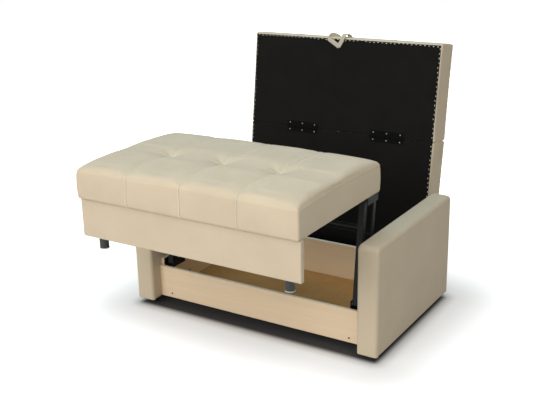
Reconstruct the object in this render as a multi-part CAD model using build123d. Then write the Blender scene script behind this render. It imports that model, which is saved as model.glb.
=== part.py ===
from build123d import *
import math
import os

# A two-seat sofa bed with a bedding box, modelled half way through being made up:
# the seat stands high on its swing arms and the two-section back is opened out upright.
# While it is modelled, x is 0 in the middle, y is 0 at the arms' fronts and grows
# rearwards, and z is 0 on the floor. At the end everything moves along y so that
# the origin lies under the middle of the whole sofa bed. All sizes are in millimetres.

# Overall sizes of the sofa body
overall_width = 1460.0
arm_thickness = 110.0
arm_top = 590.0
arm_front_radius = 28.0
arm_rear_radius = 20.0
arm_edge_radius = 14.0
arm_padding = 12.0
arm_panel = 12.0
arm_timber = 40.0
glide_height = 34.0
glide_radius = 25.0
glide_inset = 60.0
slack = 0.3

# Bedding box between the arms
board = 16.0
side_board = 18.0
front_board_setback = 70.0
box_bottom = 42.0
front_board_top = 218.0
box_floor = 4.0
batten = 16.0
batten_width = 40.0
back_panel = 18.0
back_panel_drop = 12.0
back_bay = 134.0
block_size = 40.0
front_block_width = 90.0
block_height = 110.0
screw_radius = 4.5
screw_head = 1.2
screw_row = 66.0
screw_inset = 75.0
arm_bolt_radius = 9.0
arm_bolt_head = 3.0
side_board_play = 4.0
rear_board_play = 4.0
rear_board_rise = 2.0
batten_shares = (0.08, 0.5, 0.92)
bolt_depth_shares = (0.35, 0.85)
bolt_height_shares = (0.3, 0.75)

# Swing linkage that carries the seat
link_length = 520.0
rest_lean = 7.0
link_tube = 30.0
tube_wall = 2.5
flat_link_width = 24.0
flat_link = 8.0
second_link_offset = 65.0
lower_pivot_y = 110.0
link_over_board = 3.0
bracket_wall = 4.0
bracket_end = 22.0
bracket_lip = 18.0
base_side_play = 3.0
seat_side_play = 1.0
link_gap = 8.0
pin_radius = 6.0
pin_play = 0.3
pin_head_radius = 11.0
pin_head = 3.4
washer_radius = 13.0
washer_play = 0.3
cross_tube_radius = 11.0
cross_tube_share = 0.74

# Seat
seat_side_gap = 10.0
seat_depth = 773.0
seat_height = 141.0
seat_crown = 25.0
seat_ahead = 686.4
pivot_below_seat = 24.0
seat_board = 18.0
lining = 1.5
fabric_turn = 12.0
fascia_height = 195.0
fascia_setback = 18.0
fascia_board = 16.0
fascia_padding = 7.0
fascia_edge_radius = 5.0
leg_radius = 22.5
leg_inset = 84.0
leg_gap = 3.0
leg_floor_gap = 1.0
glide_ring = 5.0
glide_ring_proud = 0.9
leg_plate = 60.0
leg_plate_wall = 3.0

# Back: two padded sections hinged face to face
back_side_gap = 32.0
back_pad = 157.0
back_crown = 15.0
back_lean = 8.0
back_pivot_behind = 5.0
lower_length = 575.0
upper_length = 528.0
section_play = 1.0
section_heel = 10.0
back_board = 25.0
hinge_length = 200.0
hinge_leaf = 2.5
hinge_reach = 30.0
hinge_barrel = 4.2
hinge_pin = 2.0
hinge_pin_play = 0.15
hinge_knuckles = 5
knuckle_play = 0.6
hinge_axis_proud = 4.5
hinge_centre_shares = (-0.2, 0.26)
hinge_screw_radius = 3.6
hinge_screw_proud = 0.2
hinge_screw_row = 20.0
hinge_screw_pitch = 82.0
ear_wall = 4.0
ear_radius = 9.0
ear_flange_width = 44.0
ear_flange_start = 14.0
ear_flange_length = 36.0
ear_web_reach = 16.0
ear_pin_radius = 5.0
ear_pin_head = 5.0
ear_side_play = 6.0
base_ear_height = 70.0
base_ear_run = 110.0
base_ear_end = 16.0
ear_screw_radius = 4.0
ear_screw_shares = (0.3, 0.75)

# Pull strap at the top of the back
strap_width = 25.0
strap_thickness = 1.6
strap_centres = (-86.0, 6.0)
strap_drop = 52.0
strap_rise = 16.0
strap_tail = 45.0
strap_bottom_shift = 10.0

# Sewn pads
pad_columns = 4
pad_rows = 2
pad_corner = 14.0
pad_end = 12.0
pad_draw = 4.0
seam_depth = 5.0
tuft_depth = 16.0
edge_sag = 3.0
crown_power_share = 0.55
edge_crown_share = 0.25
pad_station_shares = (0.07, 0.18, 0.33, 0.44, 0.5, 0.56, 0.67, 0.82, 0.93)

# Places worked out from the sizes above
half_gap = overall_width / 2 - arm_thickness
board_face = half_gap - side_board
seat_width = 2 * (half_gap - seat_side_gap)
back_width = 2 * (half_gap - back_side_gap)
leg_spread = seat_width / 2 - leg_inset
hinge_centres = [back_width * share for share in hinge_centre_shares]
front_board_back = front_board_setback + board
lower_pivot_z = front_board_top + link_over_board + link_tube / 2
lean = math.radians(rest_lean)
upper_pivot_y = lower_pivot_y + link_length * math.sin(lean)
upper_pivot_z = lower_pivot_z + link_length * math.cos(lean)
seat_bottom = upper_pivot_z + pivot_below_seat
seat_front = upper_pivot_y - seat_ahead
seat_rear = seat_front + seat_depth
seat_lowest = lower_pivot_z + pivot_below_seat
seat_rear_when_shut = seat_rear + link_length * (1 - math.sin(lean))
bracket_rear_when_shut = lower_pivot_y + link_length + second_link_offset + bracket_end
side_board_top = seat_lowest - side_board_play
rear_board_front = max(seat_rear_when_shut, bracket_rear_when_shut) + rear_board_play
rear_board_back = rear_board_front + side_board
rear_board_top = seat_lowest + rear_board_rise
back_panel_front = rear_board_back + back_bay
arm_depth = back_panel_front + back_panel + bracket_wall
back_pivot_y = arm_depth + back_pivot_behind
back_pivot_z = rear_board_top
floor_top = box_bottom + batten + box_floor
section_start = section_heel
joint_height = section_start + lower_length + section_play / 2
upper_start = joint_height + section_play / 2
back_height = upper_start + upper_length
front_face = fascia_setback + seat_front

# The channel-shaped brackets, from the box side inwards
base_outer = board_face
base_outer_in = base_outer - bracket_wall
flat_out = base_outer_in - base_side_play
flat_in = flat_out - flat_link
tube_out = flat_in - link_gap
tube_in = tube_out - link_tube
base_inner_in = tube_in - base_side_play
base_inner = base_inner_in - bracket_wall
seat_outer_in = flat_out + seat_side_play
seat_outer = seat_outer_in + bracket_wall
seat_inner_in = tube_in - seat_side_play
seat_inner = seat_inner_in - bracket_wall

nodes = {}


def block(x0, x1, y0, y1, z0, z1):
    """A box between two opposite corners."""
    middle = Pos((x0 + x1) / 2, (y0 + y1) / 2, (z0 + z1) / 2)
    return middle * Box(abs(x1 - x0), abs(y1 - y0), abs(z1 - z0))


def rod(radius, x0, x1, y, z):
    """A round bar along x."""
    return Pos((x0 + x1) / 2, y, z) * Rot(0, 90, 0) * Cylinder(radius, abs(x1 - x0))


def post(radius, x, y, z0, z1):
    """A round bar along z."""
    return Pos(x, y, (z0 + z1) / 2) * Cylinder(radius, abs(z1 - z0))


def stud(radius, x, z, y0, y1):
    """A round bar along y."""
    return Pos(x, (y0 + y1) / 2, z) * Rot(90, 0, 0) * Cylinder(radius, abs(y1 - y0))


def group(solids):
    """Separate solids kept side by side in one node."""
    return Compound(children=[s for part in solids for s in part.solids()])


def on_side(part, side):
    """The right-hand part as it is, or its mirror image for the left."""
    return part if side == "right" else mirror(part, about=Plane.YZ)


def both_sides(part):
    """A right-hand part and its mirror image in one node."""
    return group([part, mirror(part, about=Plane.YZ)])


def side_profile(y0, y1, z0, z1, front_radius, rear_radius):
    """A side view, square below, with its two upper corners rounded."""
    f, r = front_radius, rear_radius
    f45, r45 = f * (1 - math.sqrt(0.5)), r * (1 - math.sqrt(0.5))
    edges = [
        Line((0, y0, z0), (0, y1, z0)),
        Line((0, y1, z0), (0, y1, z1 - r)),
        ThreePointArc((0, y1, z1 - r), (0, y1 - r45, z1 - r45), (0, y1 - r, z1)),
        Line((0, y1 - r, z1), (0, y0 + f, z1)),
        ThreePointArc((0, y0 + f, z1), (0, y0 + f45, z1 - f45), (0, y0, z1 - f)),
        Line((0, y0, z1 - f), (0, y0, z0)),
    ]
    return make_face(Wire(edges))


def slab(x0, x1, *profile):
    """A side profile given a thickness along x."""
    return Pos(x0, 0, 0) * extrude(side_profile(*profile), amount=x1 - x0, dir=(1, 0, 0))


def arm_cover(inner, outer):
    """The padded cover of an arm: a shell open below, with soft outer edges."""
    skin = slab(inner, outer, 0, arm_depth, glide_height, arm_top, arm_front_radius, arm_rear_radius)
    soft = [e for e in skin.edges() if e.bounding_box().min.X == e.bounding_box().max.X
            or abs(e.bounding_box().max.X - e.bounding_box().min.X) < slack]
    soft = [e for e in soft if e.center().Z > glide_height + slack]
    skin = fillet(soft, arm_edge_radius)
    p = arm_padding
    hollow = slab(
        inner + p, outer - p, p, arm_depth - p, glide_height - p, arm_top - p,
        arm_front_radius - p, arm_rear_radius - p,
    )
    return skin - hollow


def make_arms():
    """Both arms: their covers, and the boards, posts and rails of the frames inside."""
    inner, outer = half_gap, overall_width / 2
    cover = arm_cover(inner, outer)
    for side in ("left", "right"):
        nodes["arm_cover_" + side] = on_side(cover, side)
    gap = arm_padding + slack
    x0, x1 = inner + gap, outer - gap
    y0, y1 = gap, arm_depth - gap
    z0, z1 = glide_height, arm_top - gap
    shape = (y0, y1, z0, z1, arm_front_radius - arm_padding, arm_rear_radius - arm_padding)
    nodes["arm_inner_boards"] = both_sides(slab(x0, x0 + arm_panel, *shape))
    nodes["arm_outer_boards"] = both_sides(slab(x1 - arm_panel, x1, *shape))
    a, b = x0 + arm_panel, x1 - arm_panel
    r0, r1 = y0 + arm_front_radius, y1 - arm_rear_radius
    top = z1 - arm_timber
    nodes["arm_rails"] = both_sides(group([
        block(a, b, y0 + arm_timber, y1 - arm_timber, z0, z0 + arm_timber),
        block(a, b, r0, r1, top, z1),
    ]))
    nodes["arm_posts"] = both_sides(group([
        block(a, b, y0, y0 + arm_timber, z0, top),
        block(a, b, y1 - arm_timber, y1, z0, top),
    ]))
    x = (inner + outer) / 2
    places = (glide_inset, arm_depth - glide_inset)
    nodes["arm_glides"] = both_sides(
        group([post(glide_radius, x, y, 0, glide_height) for y in places])
    )


def make_box():
    """The bedding box: boards, floor on battens, outer back panel, blocks and screws."""
    nodes["box_front_board"] = block(
        -half_gap, half_gap, front_board_setback, front_board_back, box_bottom, front_board_top
    )
    side_end = back_panel_front + back_panel
    for side in ("left", "right"):
        wall = block(board_face, half_gap, front_board_back, side_end, box_bottom, side_board_top)
        nodes["box_side_board_" + side] = on_side(wall, side)
    nodes["box_rear_board"] = block(
        -board_face, board_face, rear_board_front, rear_board_back, box_bottom, rear_board_top
    )
    nodes["box_floor"] = block(
        -board_face, board_face, front_board_back, rear_board_front,
        box_bottom + batten, floor_top,
    )
    span = rear_board_front - front_board_back
    middles = [front_board_back + span * share for share in batten_shares]
    nodes["floor_battens"] = group([
        block(-board_face, board_face, y - batten_width / 2, y + batten_width / 2,
              box_bottom, box_bottom + batten)
        for y in middles
    ])
    edge = board_face - bracket_wall
    nodes["box_back_panel"] = block(
        -edge, edge, back_panel_front, side_end, box_bottom, side_board_top - back_panel_drop
    )
    b = block_size
    far, near = board_face, board_face - b
    inside = (floor_top, floor_top + block_height)
    behind = (box_bottom, box_bottom + block_height)
    nodes["corner_blocks"] = both_sides(group([
        block(far - front_block_width, far, front_board_back, front_board_back + b, *inside),
        block(near, far, rear_board_front - b, rear_board_front, *inside),
        block(near, far, rear_board_back, rear_board_back + b, *behind),
        block(near, far, back_panel_front - b, back_panel_front, *behind),
    ]))
    y = front_board_setback
    nodes["front_board_screws"] = both_sides(
        stud(screw_radius, half_gap - screw_inset, screw_row, y - screw_head, y)
    )


def make_arm_bolts():
    """Bolt heads inside the box that hold the arms to the side boards."""
    span = rear_board_front - front_board_back
    heads = [
        rod(arm_bolt_radius, board_face - arm_bolt_head, board_face,
            front_board_back + span * share, box_bottom + (side_board_top - box_bottom) * level)
        for share in bolt_depth_shares for level in bolt_height_shares
    ]
    nodes["arm_bolts"] = both_sides(group(heads))


def channel(x_in, x_out, wall, y0, y1, z_web, z_lip):
    """A channel along y: two plates joined by a web at height z_web."""
    step = wall if z_lip > z_web else -wall
    return (
        block(x_in, x_in + wall, y0, y1, z_web, z_lip)
        + block(x_out - wall, x_out, y0, y1, z_web, z_lip)
        + block(x_in, x_out, y0, y1, z_web, z_web + step)
    )


def pivot_pin(plate_in, plate_out, link_in, link_out, y, z, inward):
    """A pin through one bracket plate and one link, with a head at each end.

    inward is 1 where the plate lies on the pin's outer side, and -1 on the inner.
    """
    lo, hi = min(plate_in, link_in), max(plate_out, link_out)
    shaft = rod(pin_radius, lo, hi, y, z)
    if inward > 0:
        heads = rod(pin_head_radius, lo - pin_head, lo - slack, y, z)
        neck = rod(pin_radius, lo - slack, lo, y, z)
    else:
        heads = rod(pin_head_radius, hi + slack, hi + pin_head, y, z)
        neck = rod(pin_radius, hi, hi + slack, y, z)
    return shaft + neck + heads


def washer(x0, x1, y, z):
    """A spacer round a pin, between a plate and a link."""
    ring = rod(washer_radius, x0, x1, y, z) - rod(pin_radius, x0, x1, y, z)
    return ring


def make_base_brackets():
    """The channels on the box sides, with the pins and spacers of the lower pivots."""
    y0 = lower_pivot_y - bracket_end
    y1 = lower_pivot_y + second_link_offset + bracket_end
    z = lower_pivot_z
    web = z - link_tube / 2 - link_over_board - bracket_wall
    shell = channel(base_inner, base_outer, bracket_wall, y0, y1, web, z + bracket_lip)
    second_y = lower_pivot_y + second_link_offset
    shell -= rod(pin_radius, base_inner, base_inner_in, lower_pivot_y, z)
    shell -= rod(pin_radius, base_outer_in, base_outer, second_y, z)
    front = pivot_pin(base_inner, base_inner_in, tube_in, tube_out, lower_pivot_y, z, -1)
    rear = pivot_pin(base_outer_in, base_outer, flat_in, flat_out, second_y, z, 1)
    play = washer_play
    spacers = group([
        washer(base_inner_in, tube_in - play, lower_pivot_y, z),
        washer(flat_out + play, base_outer_in, second_y, z),
    ])
    for side in ("left", "right"):
        nodes["base_bracket_" + side] = on_side(shell, side)
    nodes["lower_pivot_pins"] = both_sides(group([front, rear]))
    nodes["lower_pivot_spacers"] = both_sides(spacers)


def bar(width, x0, x1):
    """A bar with round ends, from the lower pivot at the origin up to the upper one."""
    straight = block(x0, x1, -width / 2, width / 2, 0, link_length)
    return straight + rod(width / 2, x0, x1, 0, 0) + rod(width / 2, x0, x1, 0, link_length)


def leaned(part, y):
    """A link stood on its lower pivot and leaned back to its rest angle."""
    return Pos(0, y, lower_pivot_z) * Rot(-rest_lean, 0, 0) * part


def make_links():
    """The tube arms, the tube across between them, and the flat second arms."""
    w = tube_wall
    arm = bar(link_tube, tube_in, tube_out)
    reach = link_tube / 2
    bore = block(tube_in + w, tube_out - w, w - reach, reach - w, -link_tube, link_length + link_tube)
    eyes = [rod(pin_radius + pin_play, tube_in, tube_out, 0, z) for z in (0, link_length)]
    arm = arm - bore - eyes[0] - eyes[1]
    flat = bar(flat_link_width, flat_in, flat_out)
    for z in (0, link_length):
        flat -= rod(pin_radius + pin_play, flat_in, flat_out, 0, z)
    for side in ("left", "right"):
        nodes["swing_arm_" + side] = on_side(leaned(arm, lower_pivot_y), side)
        nodes["second_arm_" + side] = on_side(
            leaned(flat, lower_pivot_y + second_link_offset), side
        )
    height = link_length * cross_tube_share
    across = rod(cross_tube_radius, -tube_in, tube_in, 0, height)
    across -= rod(cross_tube_radius - w, -tube_in, tube_in, 0, height)
    nodes["cross_tube"] = leaned(across, lower_pivot_y)


def make_seat_brackets():
    """The channels under the seat, with the pins and spacers of the upper pivots."""
    y0 = upper_pivot_y - bracket_end
    y1 = upper_pivot_y + second_link_offset + bracket_end
    z = upper_pivot_z
    shell = channel(seat_inner, seat_outer, bracket_wall, y0, y1, seat_bottom, z - bracket_lip)
    second_y = upper_pivot_y + second_link_offset
    shell -= rod(pin_radius, seat_inner, seat_inner_in, upper_pivot_y, z)
    shell -= rod(pin_radius, seat_outer_in, seat_outer, second_y, z)
    front = pivot_pin(seat_inner, seat_inner_in, tube_in, tube_out, upper_pivot_y, z, -1)
    rear = pivot_pin(seat_outer_in, seat_outer, flat_in, flat_out, second_y, z, 1)
    play = washer_play
    spacers = group([
        washer(seat_inner_in, tube_in - play, upper_pivot_y, z),
        washer(flat_out + play, seat_outer_in, second_y, z),
    ])
    for side in ("left", "right"):
        nodes["seat_bracket_" + side] = on_side(shell, side)
    nodes["upper_pivot_pins"] = both_sides(group([front, rear]))
    nodes["upper_pivot_spacers"] = both_sides(spacers)


def pad_section(y, half_width, height, valley, sag):
    """One cross section of a sewn pad: flat below, drawn-in sides, rounded upper
    corners, and an arc over each column between the seams."""
    w, h, r = half_width, height, pad_corner
    r45 = r * (1 - math.sqrt(0.5))
    top_left, top_right = -w + r, w - r
    xs = [top_left + (top_right - top_left) * k / pad_columns for k in range(pad_columns + 1)]
    zs = [h] + [h - valley] * (pad_columns - 1) + [h]
    edges = [
        Line((-w, y, 0), (w, y, 0)),
        ThreePointArc((w, y, 0), (w - pad_draw, y, (h - r) / 2), (w, y, h - r)),
        ThreePointArc((w, y, h - r), (w - r45, y, h - r45), (top_right, y, h)),
    ]
    for k in reversed(range(pad_columns)):
        middle = ((xs[k] + xs[k + 1]) / 2, y, (zs[k] + zs[k + 1]) / 2 + sag)
        edges.append(ThreePointArc((xs[k + 1], y, zs[k + 1]), middle, (xs[k], y, zs[k])))
    edges += [
        ThreePointArc((top_left, y, h), (r45 - w, y, h - r45), (-w, y, h - r)),
        ThreePointArc((-w, y, h - r), (pad_draw - w, y, (h - r) / 2), (-w, y, 0)),
    ]
    return Face(Wire(edges))


def sewn_pad(width, length, height, crown):
    """A pad of columns and rows of shallow pillows, drawn down to a tuft wherever
    a seam crosses the middle. It lies on z 0, from y 0 to its length."""
    w = width / 2
    sections = [
        pad_section(0, w - pad_end, height - pad_end, 0, edge_sag),
        pad_section(pad_end, w, height, seam_depth / 2, edge_sag + crown * edge_crown_share),
    ]
    for share in pad_station_shares:
        place = (share * pad_rows) % 1
        rise = math.sin(math.pi * place) ** crown_power_share
        waist = pad_draw * math.sin(math.pi * share)
        near_tuft = 1 - rise
        valley = seam_depth + (tuft_depth - seam_depth) * near_tuft
        sections.append(pad_section(
            length * share, w - waist, height, valley,
            seam_depth + edge_sag + (crown - edge_sag) * rise,
        ))
    sections += [
        pad_section(length - pad_end, w, height, seam_depth / 2, edge_sag + crown * edge_crown_share),
        pad_section(length, w - pad_end, height - pad_end, 0, edge_sag),
    ]
    return loft(sections, ruled=True)


def make_seat():
    """The seat: sewn cushion over a board, black lining, fascia and front legs."""
    pad = sewn_pad(seat_width, seat_depth, seat_height, seat_crown)
    pad = Pos(0, seat_front, seat_bottom) * pad
    t = fabric_turn
    x, y0, y1 = seat_width / 2 - t, seat_front + t, seat_rear - t
    z1 = seat_bottom + lining + seat_board
    pocket = block(-x, x, y0, y1, seat_bottom - t, z1)
    nodes["seat_cushion"] = pad - pocket
    s = slack
    nodes["seat_board"] = block(-x + s, x - s, y0 + s, y1 - s, seat_bottom + lining, z1)
    nodes["seat_lining"] = block(-x + s, x - s, y0 + s, y1 - s, seat_bottom, seat_bottom + lining)

    half = seat_width / 2 - fascia_padding
    p = fascia_padding
    z_low = seat_bottom - fascia_height
    core = block(-half, half, front_face + p, front_face + p + fascia_board, z_low + p, seat_bottom)
    nodes["fascia_board"] = core
    back = front_face + p + fascia_board
    cover = block(-half - p, half + p, front_face, back, z_low, seat_bottom)
    rim = [e for e in cover.edges()
           if e.center().Y < front_face + slack and e.center().Z < seat_bottom - slack]
    cover = fillet(rim, fascia_edge_radius)
    nodes["fascia_cover"] = cover - core

    top = seat_bottom - leg_plate_wall
    low = seat_bottom - (seat_lowest - leg_floor_gap)
    leg_y = back + leg_gap + leg_radius
    leg = post(leg_radius, leg_spread, leg_y, low + glide_ring, top)
    ring = post(leg_radius + glide_ring_proud, leg_spread, leg_y, low, low + glide_ring)
    half_plate = leg_plate / 2
    plate = block(leg_spread - half_plate, leg_spread + half_plate, back, back + leg_plate,
                  top, seat_bottom)
    for side in ("left", "right"):
        nodes["seat_leg_" + side] = on_side(leg, side)
    nodes["leg_glides"] = both_sides(ring)
    nodes["leg_plates"] = both_sides(plate)


def back_place(part):
    """From the back's own frame, with its pivot at 0 and its lining at y 0,
    to its place on the box, leaned back."""
    return Pos(0, back_pivot_y, back_pivot_z) * Rot(-back_lean, 0, 0) * part


def back_section(name, start, length):
    """One section of the back: its pad, the board inside and the lining in front."""
    w = back_width / 2
    top = start + length
    pad = Pos(0, 0, top) * Rot(-90, 0, 0) * sewn_pad(back_width, length, back_pad, back_crown)
    t = fabric_turn
    pocket = block(-w + t, w - t, -t, back_board, start + t, top - t)
    nodes["back_%s_cushion" % name] = back_place(pad - pocket)
    s = slack
    core = block(-w + t + s, w - t - s, 0, back_board, start + t + s, top - t - s)
    nodes["back_%s_board" % name] = back_place(core)
    sheet = block(-w + t + s, w - t - s, -lining, 0, start + t + s, top - t - s)
    nodes["back_%s_lining" % name] = back_place(sheet)


def hinge_half(upper, x_middle):
    """One leaf of a flat hinge, with its knuckles, in the back's own frame.

    The knuckles take turns, starting with the lower leaf's."""
    sign = 1 if upper else -1
    z = joint_height
    front = -lining - hinge_leaf
    root = hinge_barrel + knuckle_play
    x0, x1 = x_middle - hinge_length / 2, x_middle + hinge_length / 2
    leaf = block(x0, x1, front, -lining, z + sign * root, z + sign * hinge_reach)
    pitch = hinge_length / hinge_knuckles
    for k in range(1 if upper else 0, hinge_knuckles, 2):
        a = x0 + pitch * k + knuckle_play / 2
        b = x0 + pitch * (k + 1) - knuckle_play / 2
        leaf += block(a, b, front, -lining, z, z + sign * root)
        leaf += rod(hinge_barrel, a, b, -hinge_axis_proud, z)
    leaf -= rod(hinge_pin + hinge_pin_play, x0, x1, -hinge_axis_proud, z)
    return leaf


def hinge_screws(upper):
    """The screw heads along both hinges' leaves of one section."""
    z = joint_height + (hinge_screw_row if upper else -hinge_screw_row)
    face = -lining - hinge_leaf
    return group([
        stud(hinge_screw_radius, x + hinge_screw_pitch * k, z, face - hinge_screw_proud, face)
        for x in hinge_centres for k in (-1, 0, 1)
    ])


def back_ear():
    """The pivot bracket screwed on the lower section: a flange, and a web with the eye."""
    x1 = base_outer_in - ear_side_play - ear_wall * 2
    x0 = x1 - ear_flange_width
    f0, f1 = ear_flange_start, ear_flange_start + ear_flange_length
    flange = block(x0, x1, -lining - ear_wall, -lining, f0, f1)
    web = block(x1 - ear_wall, x1, -lining - ear_web_reach, -lining, 0, f1)
    eye = rod(ear_radius, x1 - ear_wall, x1, 0, 0)
    return flange + web + eye - rod(ear_pin_radius + pin_play, x1 - ear_wall, x1, 0, 0), x1


def make_back():
    """Both back sections, their hinges and pins, the pivot ears and the pull strap."""
    back_section("lower", section_start, lower_length)
    back_section("upper", upper_start, upper_length)
    for label, x in zip(("left", "right"), hinge_centres):
        nodes["hinge_lower_leaf_" + label] = back_place(hinge_half(False, x))
        nodes["hinge_upper_leaf_" + label] = back_place(hinge_half(True, x))
    nodes["hinge_pins"] = back_place(group([
        rod(hinge_pin, x - hinge_length / 2, x + hinge_length / 2, -hinge_axis_proud, joint_height)
        for x in hinge_centres
    ]))
    nodes["hinge_lower_screws"] = back_place(hinge_screws(False))
    nodes["hinge_upper_screws"] = back_place(hinge_screws(True))

    ear, x1 = back_ear()
    z = ear_flange_start + ear_flange_length / 2
    face = -lining - ear_wall
    inner = x1 - ear_flange_width
    heads = group([
        stud(ear_screw_radius, inner + (x1 - ear_wall - inner) * share, z, face - screw_head, face)
        for share in ear_screw_shares
    ])
    for side in ("left", "right"):
        nodes["back_ear_" + side] = back_place(on_side(ear, side))
    nodes["back_ear_screws"] = back_place(both_sides(heads))
    make_base_ears(x1 - ear_wall)


def make_base_ears(pin_end):
    """The plates on the box sides that carry the back's pivot, and its pins."""
    y, z, r = back_pivot_y, back_pivot_z, base_ear_end
    x0, x1 = base_outer_in, base_outer
    root = block(x0, x1, y - base_ear_run, back_panel_front + back_panel,
                 z - base_ear_height, z - back_panel_drop)
    arm = block(x0, x1, y - base_ear_run / 2, y, z - r, z + r)
    plate = root + arm + rod(r, x0, x1, y, z) - rod(ear_pin_radius, x0, x1, y, z)
    pin = rod(ear_pin_radius, pin_end - slack, x1, y, z) + rod(ear_radius, x1, x1 + ear_pin_head, y, z)
    pin += rod(ear_radius, pin_end - ear_pin_head, pin_end - slack, y, z)
    for side in ("left", "right"):
        nodes["base_ear_" + side] = on_side(plate, side)
    nodes["back_pivot_pins"] = both_sides(pin)


def make_strap():
    """The pull strap: two bands over the top edge that meet in a loose V in front."""
    t, w = strap_thickness, strap_width
    front = -lining - slack - t
    bottom = back_height - strap_drop
    low_x = sum(strap_centres) / 2 + strap_bottom_shift
    solid = None
    for x in strap_centres:
        lean_in = low_x - x
        face = Face(Wire.make_polygon([
            (x - w / 2, front, back_height),
            (x + w / 2, front, back_height),
            (x + lean_in + w / 2, front, bottom),
            (x + lean_in - w / 2, front, bottom),
        ]))
        hanging = extrude(face, amount=t, dir=(0, 1, 0))
        over = bridge(x, front)
        piece = hanging + over
        solid = piece if solid is None else solid + piece
    nodes["pull_strap"] = back_place(solid)


def bridge(x, front):
    """A band of the strap arching from the front over the section's top face."""
    t, w = strap_thickness, strap_width
    y0, y1 = front, strap_tail
    z = back_height
    middle, rise = (y0 + y1) / 2, strap_rise
    outline = Wire([
        ThreePointArc((x - w / 2, y0, z), (x - w / 2, middle, z + rise), (x - w / 2, y1, z)),
        Line((x - w / 2, y1, z), (x - w / 2, y1 - t, z)),
        ThreePointArc((x - w / 2, y1 - t, z), (x - w / 2, middle, z + rise - t),
                      (x - w / 2, y0 + t, z)),
        Line((x - w / 2, y0 + t, z), (x - w / 2, y0, z)),
    ])
    return extrude(Face(outline), amount=w, dir=(1, 0, 0))


def write_nodes():
    """Centre the whole sofa bed over the origin and write one file for each node."""
    box = Compound(children=[s for part in nodes.values() for s in part.solids()]).bounding_box()
    shift = -(box.min.Y + box.max.Y) / 2
    os.makedirs("parts", exist_ok=True)
    for name, part in nodes.items():
        export_step(Pos(0, shift, 0) * part, "parts/" + name + ".step")
    return shift


make_arms()
make_box()
make_arm_bolts()
make_base_brackets()
make_links()
make_seat_brackets()
make_seat()
make_back()
make_strap()
moved = write_nodes()
print("moved along y by", round(moved, 3))
print("lower pivot", lower_pivot_y + moved, lower_pivot_z)
print("upper pivot", upper_pivot_y + moved, upper_pivot_z)
print("second pivot", lower_pivot_y + second_link_offset + moved, lower_pivot_z)
print("back pivot", back_pivot_y + moved, back_pivot_z)
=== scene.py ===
# %% [markdown]
# # A sofa bed, half way through being made up
# The sofa bed has a bedding box between two padded arms. Its seat has swung up on steel
# arms, and the two padded sections of its back stand upright behind it with their black
# undersides to the front. The CAD model brings the real shapes of boards, steel and screws.
# This lesson adds what CAD leaves out: cloth that swells between its seams, stitches,
# staples, stretched lining, wood, paint, light and a camera.
# All lengths are in metres, x grows to the right, y to the rear and z upwards.

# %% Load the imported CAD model
import math
import bpy
import bmesh
import numpy as np
from mathutils import Matrix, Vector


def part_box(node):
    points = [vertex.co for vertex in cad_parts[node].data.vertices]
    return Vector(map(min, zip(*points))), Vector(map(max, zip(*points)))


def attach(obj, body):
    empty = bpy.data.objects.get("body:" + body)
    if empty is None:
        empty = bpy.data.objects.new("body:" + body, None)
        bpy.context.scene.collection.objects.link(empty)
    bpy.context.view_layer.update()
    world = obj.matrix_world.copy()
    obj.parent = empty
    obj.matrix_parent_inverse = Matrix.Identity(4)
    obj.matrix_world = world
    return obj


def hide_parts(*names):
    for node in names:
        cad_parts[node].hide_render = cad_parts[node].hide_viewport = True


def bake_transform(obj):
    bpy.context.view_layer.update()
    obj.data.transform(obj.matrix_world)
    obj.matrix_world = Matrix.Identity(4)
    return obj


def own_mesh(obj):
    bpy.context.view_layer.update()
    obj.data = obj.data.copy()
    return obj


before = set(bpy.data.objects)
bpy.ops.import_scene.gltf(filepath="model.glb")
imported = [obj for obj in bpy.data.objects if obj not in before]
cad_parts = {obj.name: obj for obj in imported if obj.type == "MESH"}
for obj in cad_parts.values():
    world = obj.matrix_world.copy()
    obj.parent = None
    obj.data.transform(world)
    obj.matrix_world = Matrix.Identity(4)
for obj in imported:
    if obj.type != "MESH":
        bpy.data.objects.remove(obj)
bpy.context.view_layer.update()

# %% [markdown]
# ## The camera
# The photograph was taken from the front right, a little above the sofa. The camera's place
# and its three turns were solved beforehand from the corners of the arms, box and cushion.
# A camera looks along its own -z, so its matrix has the picture's right, the picture's up
# and the way back to the photographer as its columns. The lamps look along their -z too, so
# the helpers that place the camera will place them as well.

# %% Helpers that place objects
def put_in_scene(name, data):
    """A new object in the scene that shows some data."""
    item = bpy.data.objects.new(name, data)
    bpy.context.scene.collection.objects.link(item)
    return item


def stand(item, right, up, back, place):
    """Puts an object at a place and turns its own x, y and z along three directions."""
    matrix = np.eye(4)
    matrix[:3] = np.column_stack([right, up, back, place])
    item.matrix_world = Matrix(matrix.tolist())


# %% Stand the camera where the photograph was taken
picture_width = 550
focal_pixels = 899.7
camera_place = np.array([2.355, -3.8247, 2.102])
yaw, pitch, roll = np.radians([32.08, 18.75, -1.23])

ahead = np.array([-np.sin(yaw) * np.cos(pitch), np.cos(yaw) * np.cos(pitch), -np.sin(pitch)])
level = np.array([np.cos(yaw), np.sin(yaw), 0.0])
upright = np.cross(level, ahead)
picture_right = np.cos(roll) * level + np.sin(roll) * upright
picture_up = -np.sin(roll) * level + np.cos(roll) * upright

camera_data = bpy.data.cameras.new("camera")
camera_data.sensor_width = 36.0
camera_data.lens = focal_pixels / picture_width * camera_data.sensor_width
camera = put_in_scene("camera", camera_data)
stand(camera, picture_right, picture_up, -ahead, camera_place)
bpy.context.scene.camera = camera
print("lens", round(camera_data.lens, 1), "mm")

# %% [markdown]
# ## Colours and nodes
# Blender's sockets want linear light, while colours are usually written as on a screen.
# `tone` turns one into the other. `add` puts a node into a tree and sets its sockets and
# settings by name, so that a material reads like a list of what it is made of.

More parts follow.
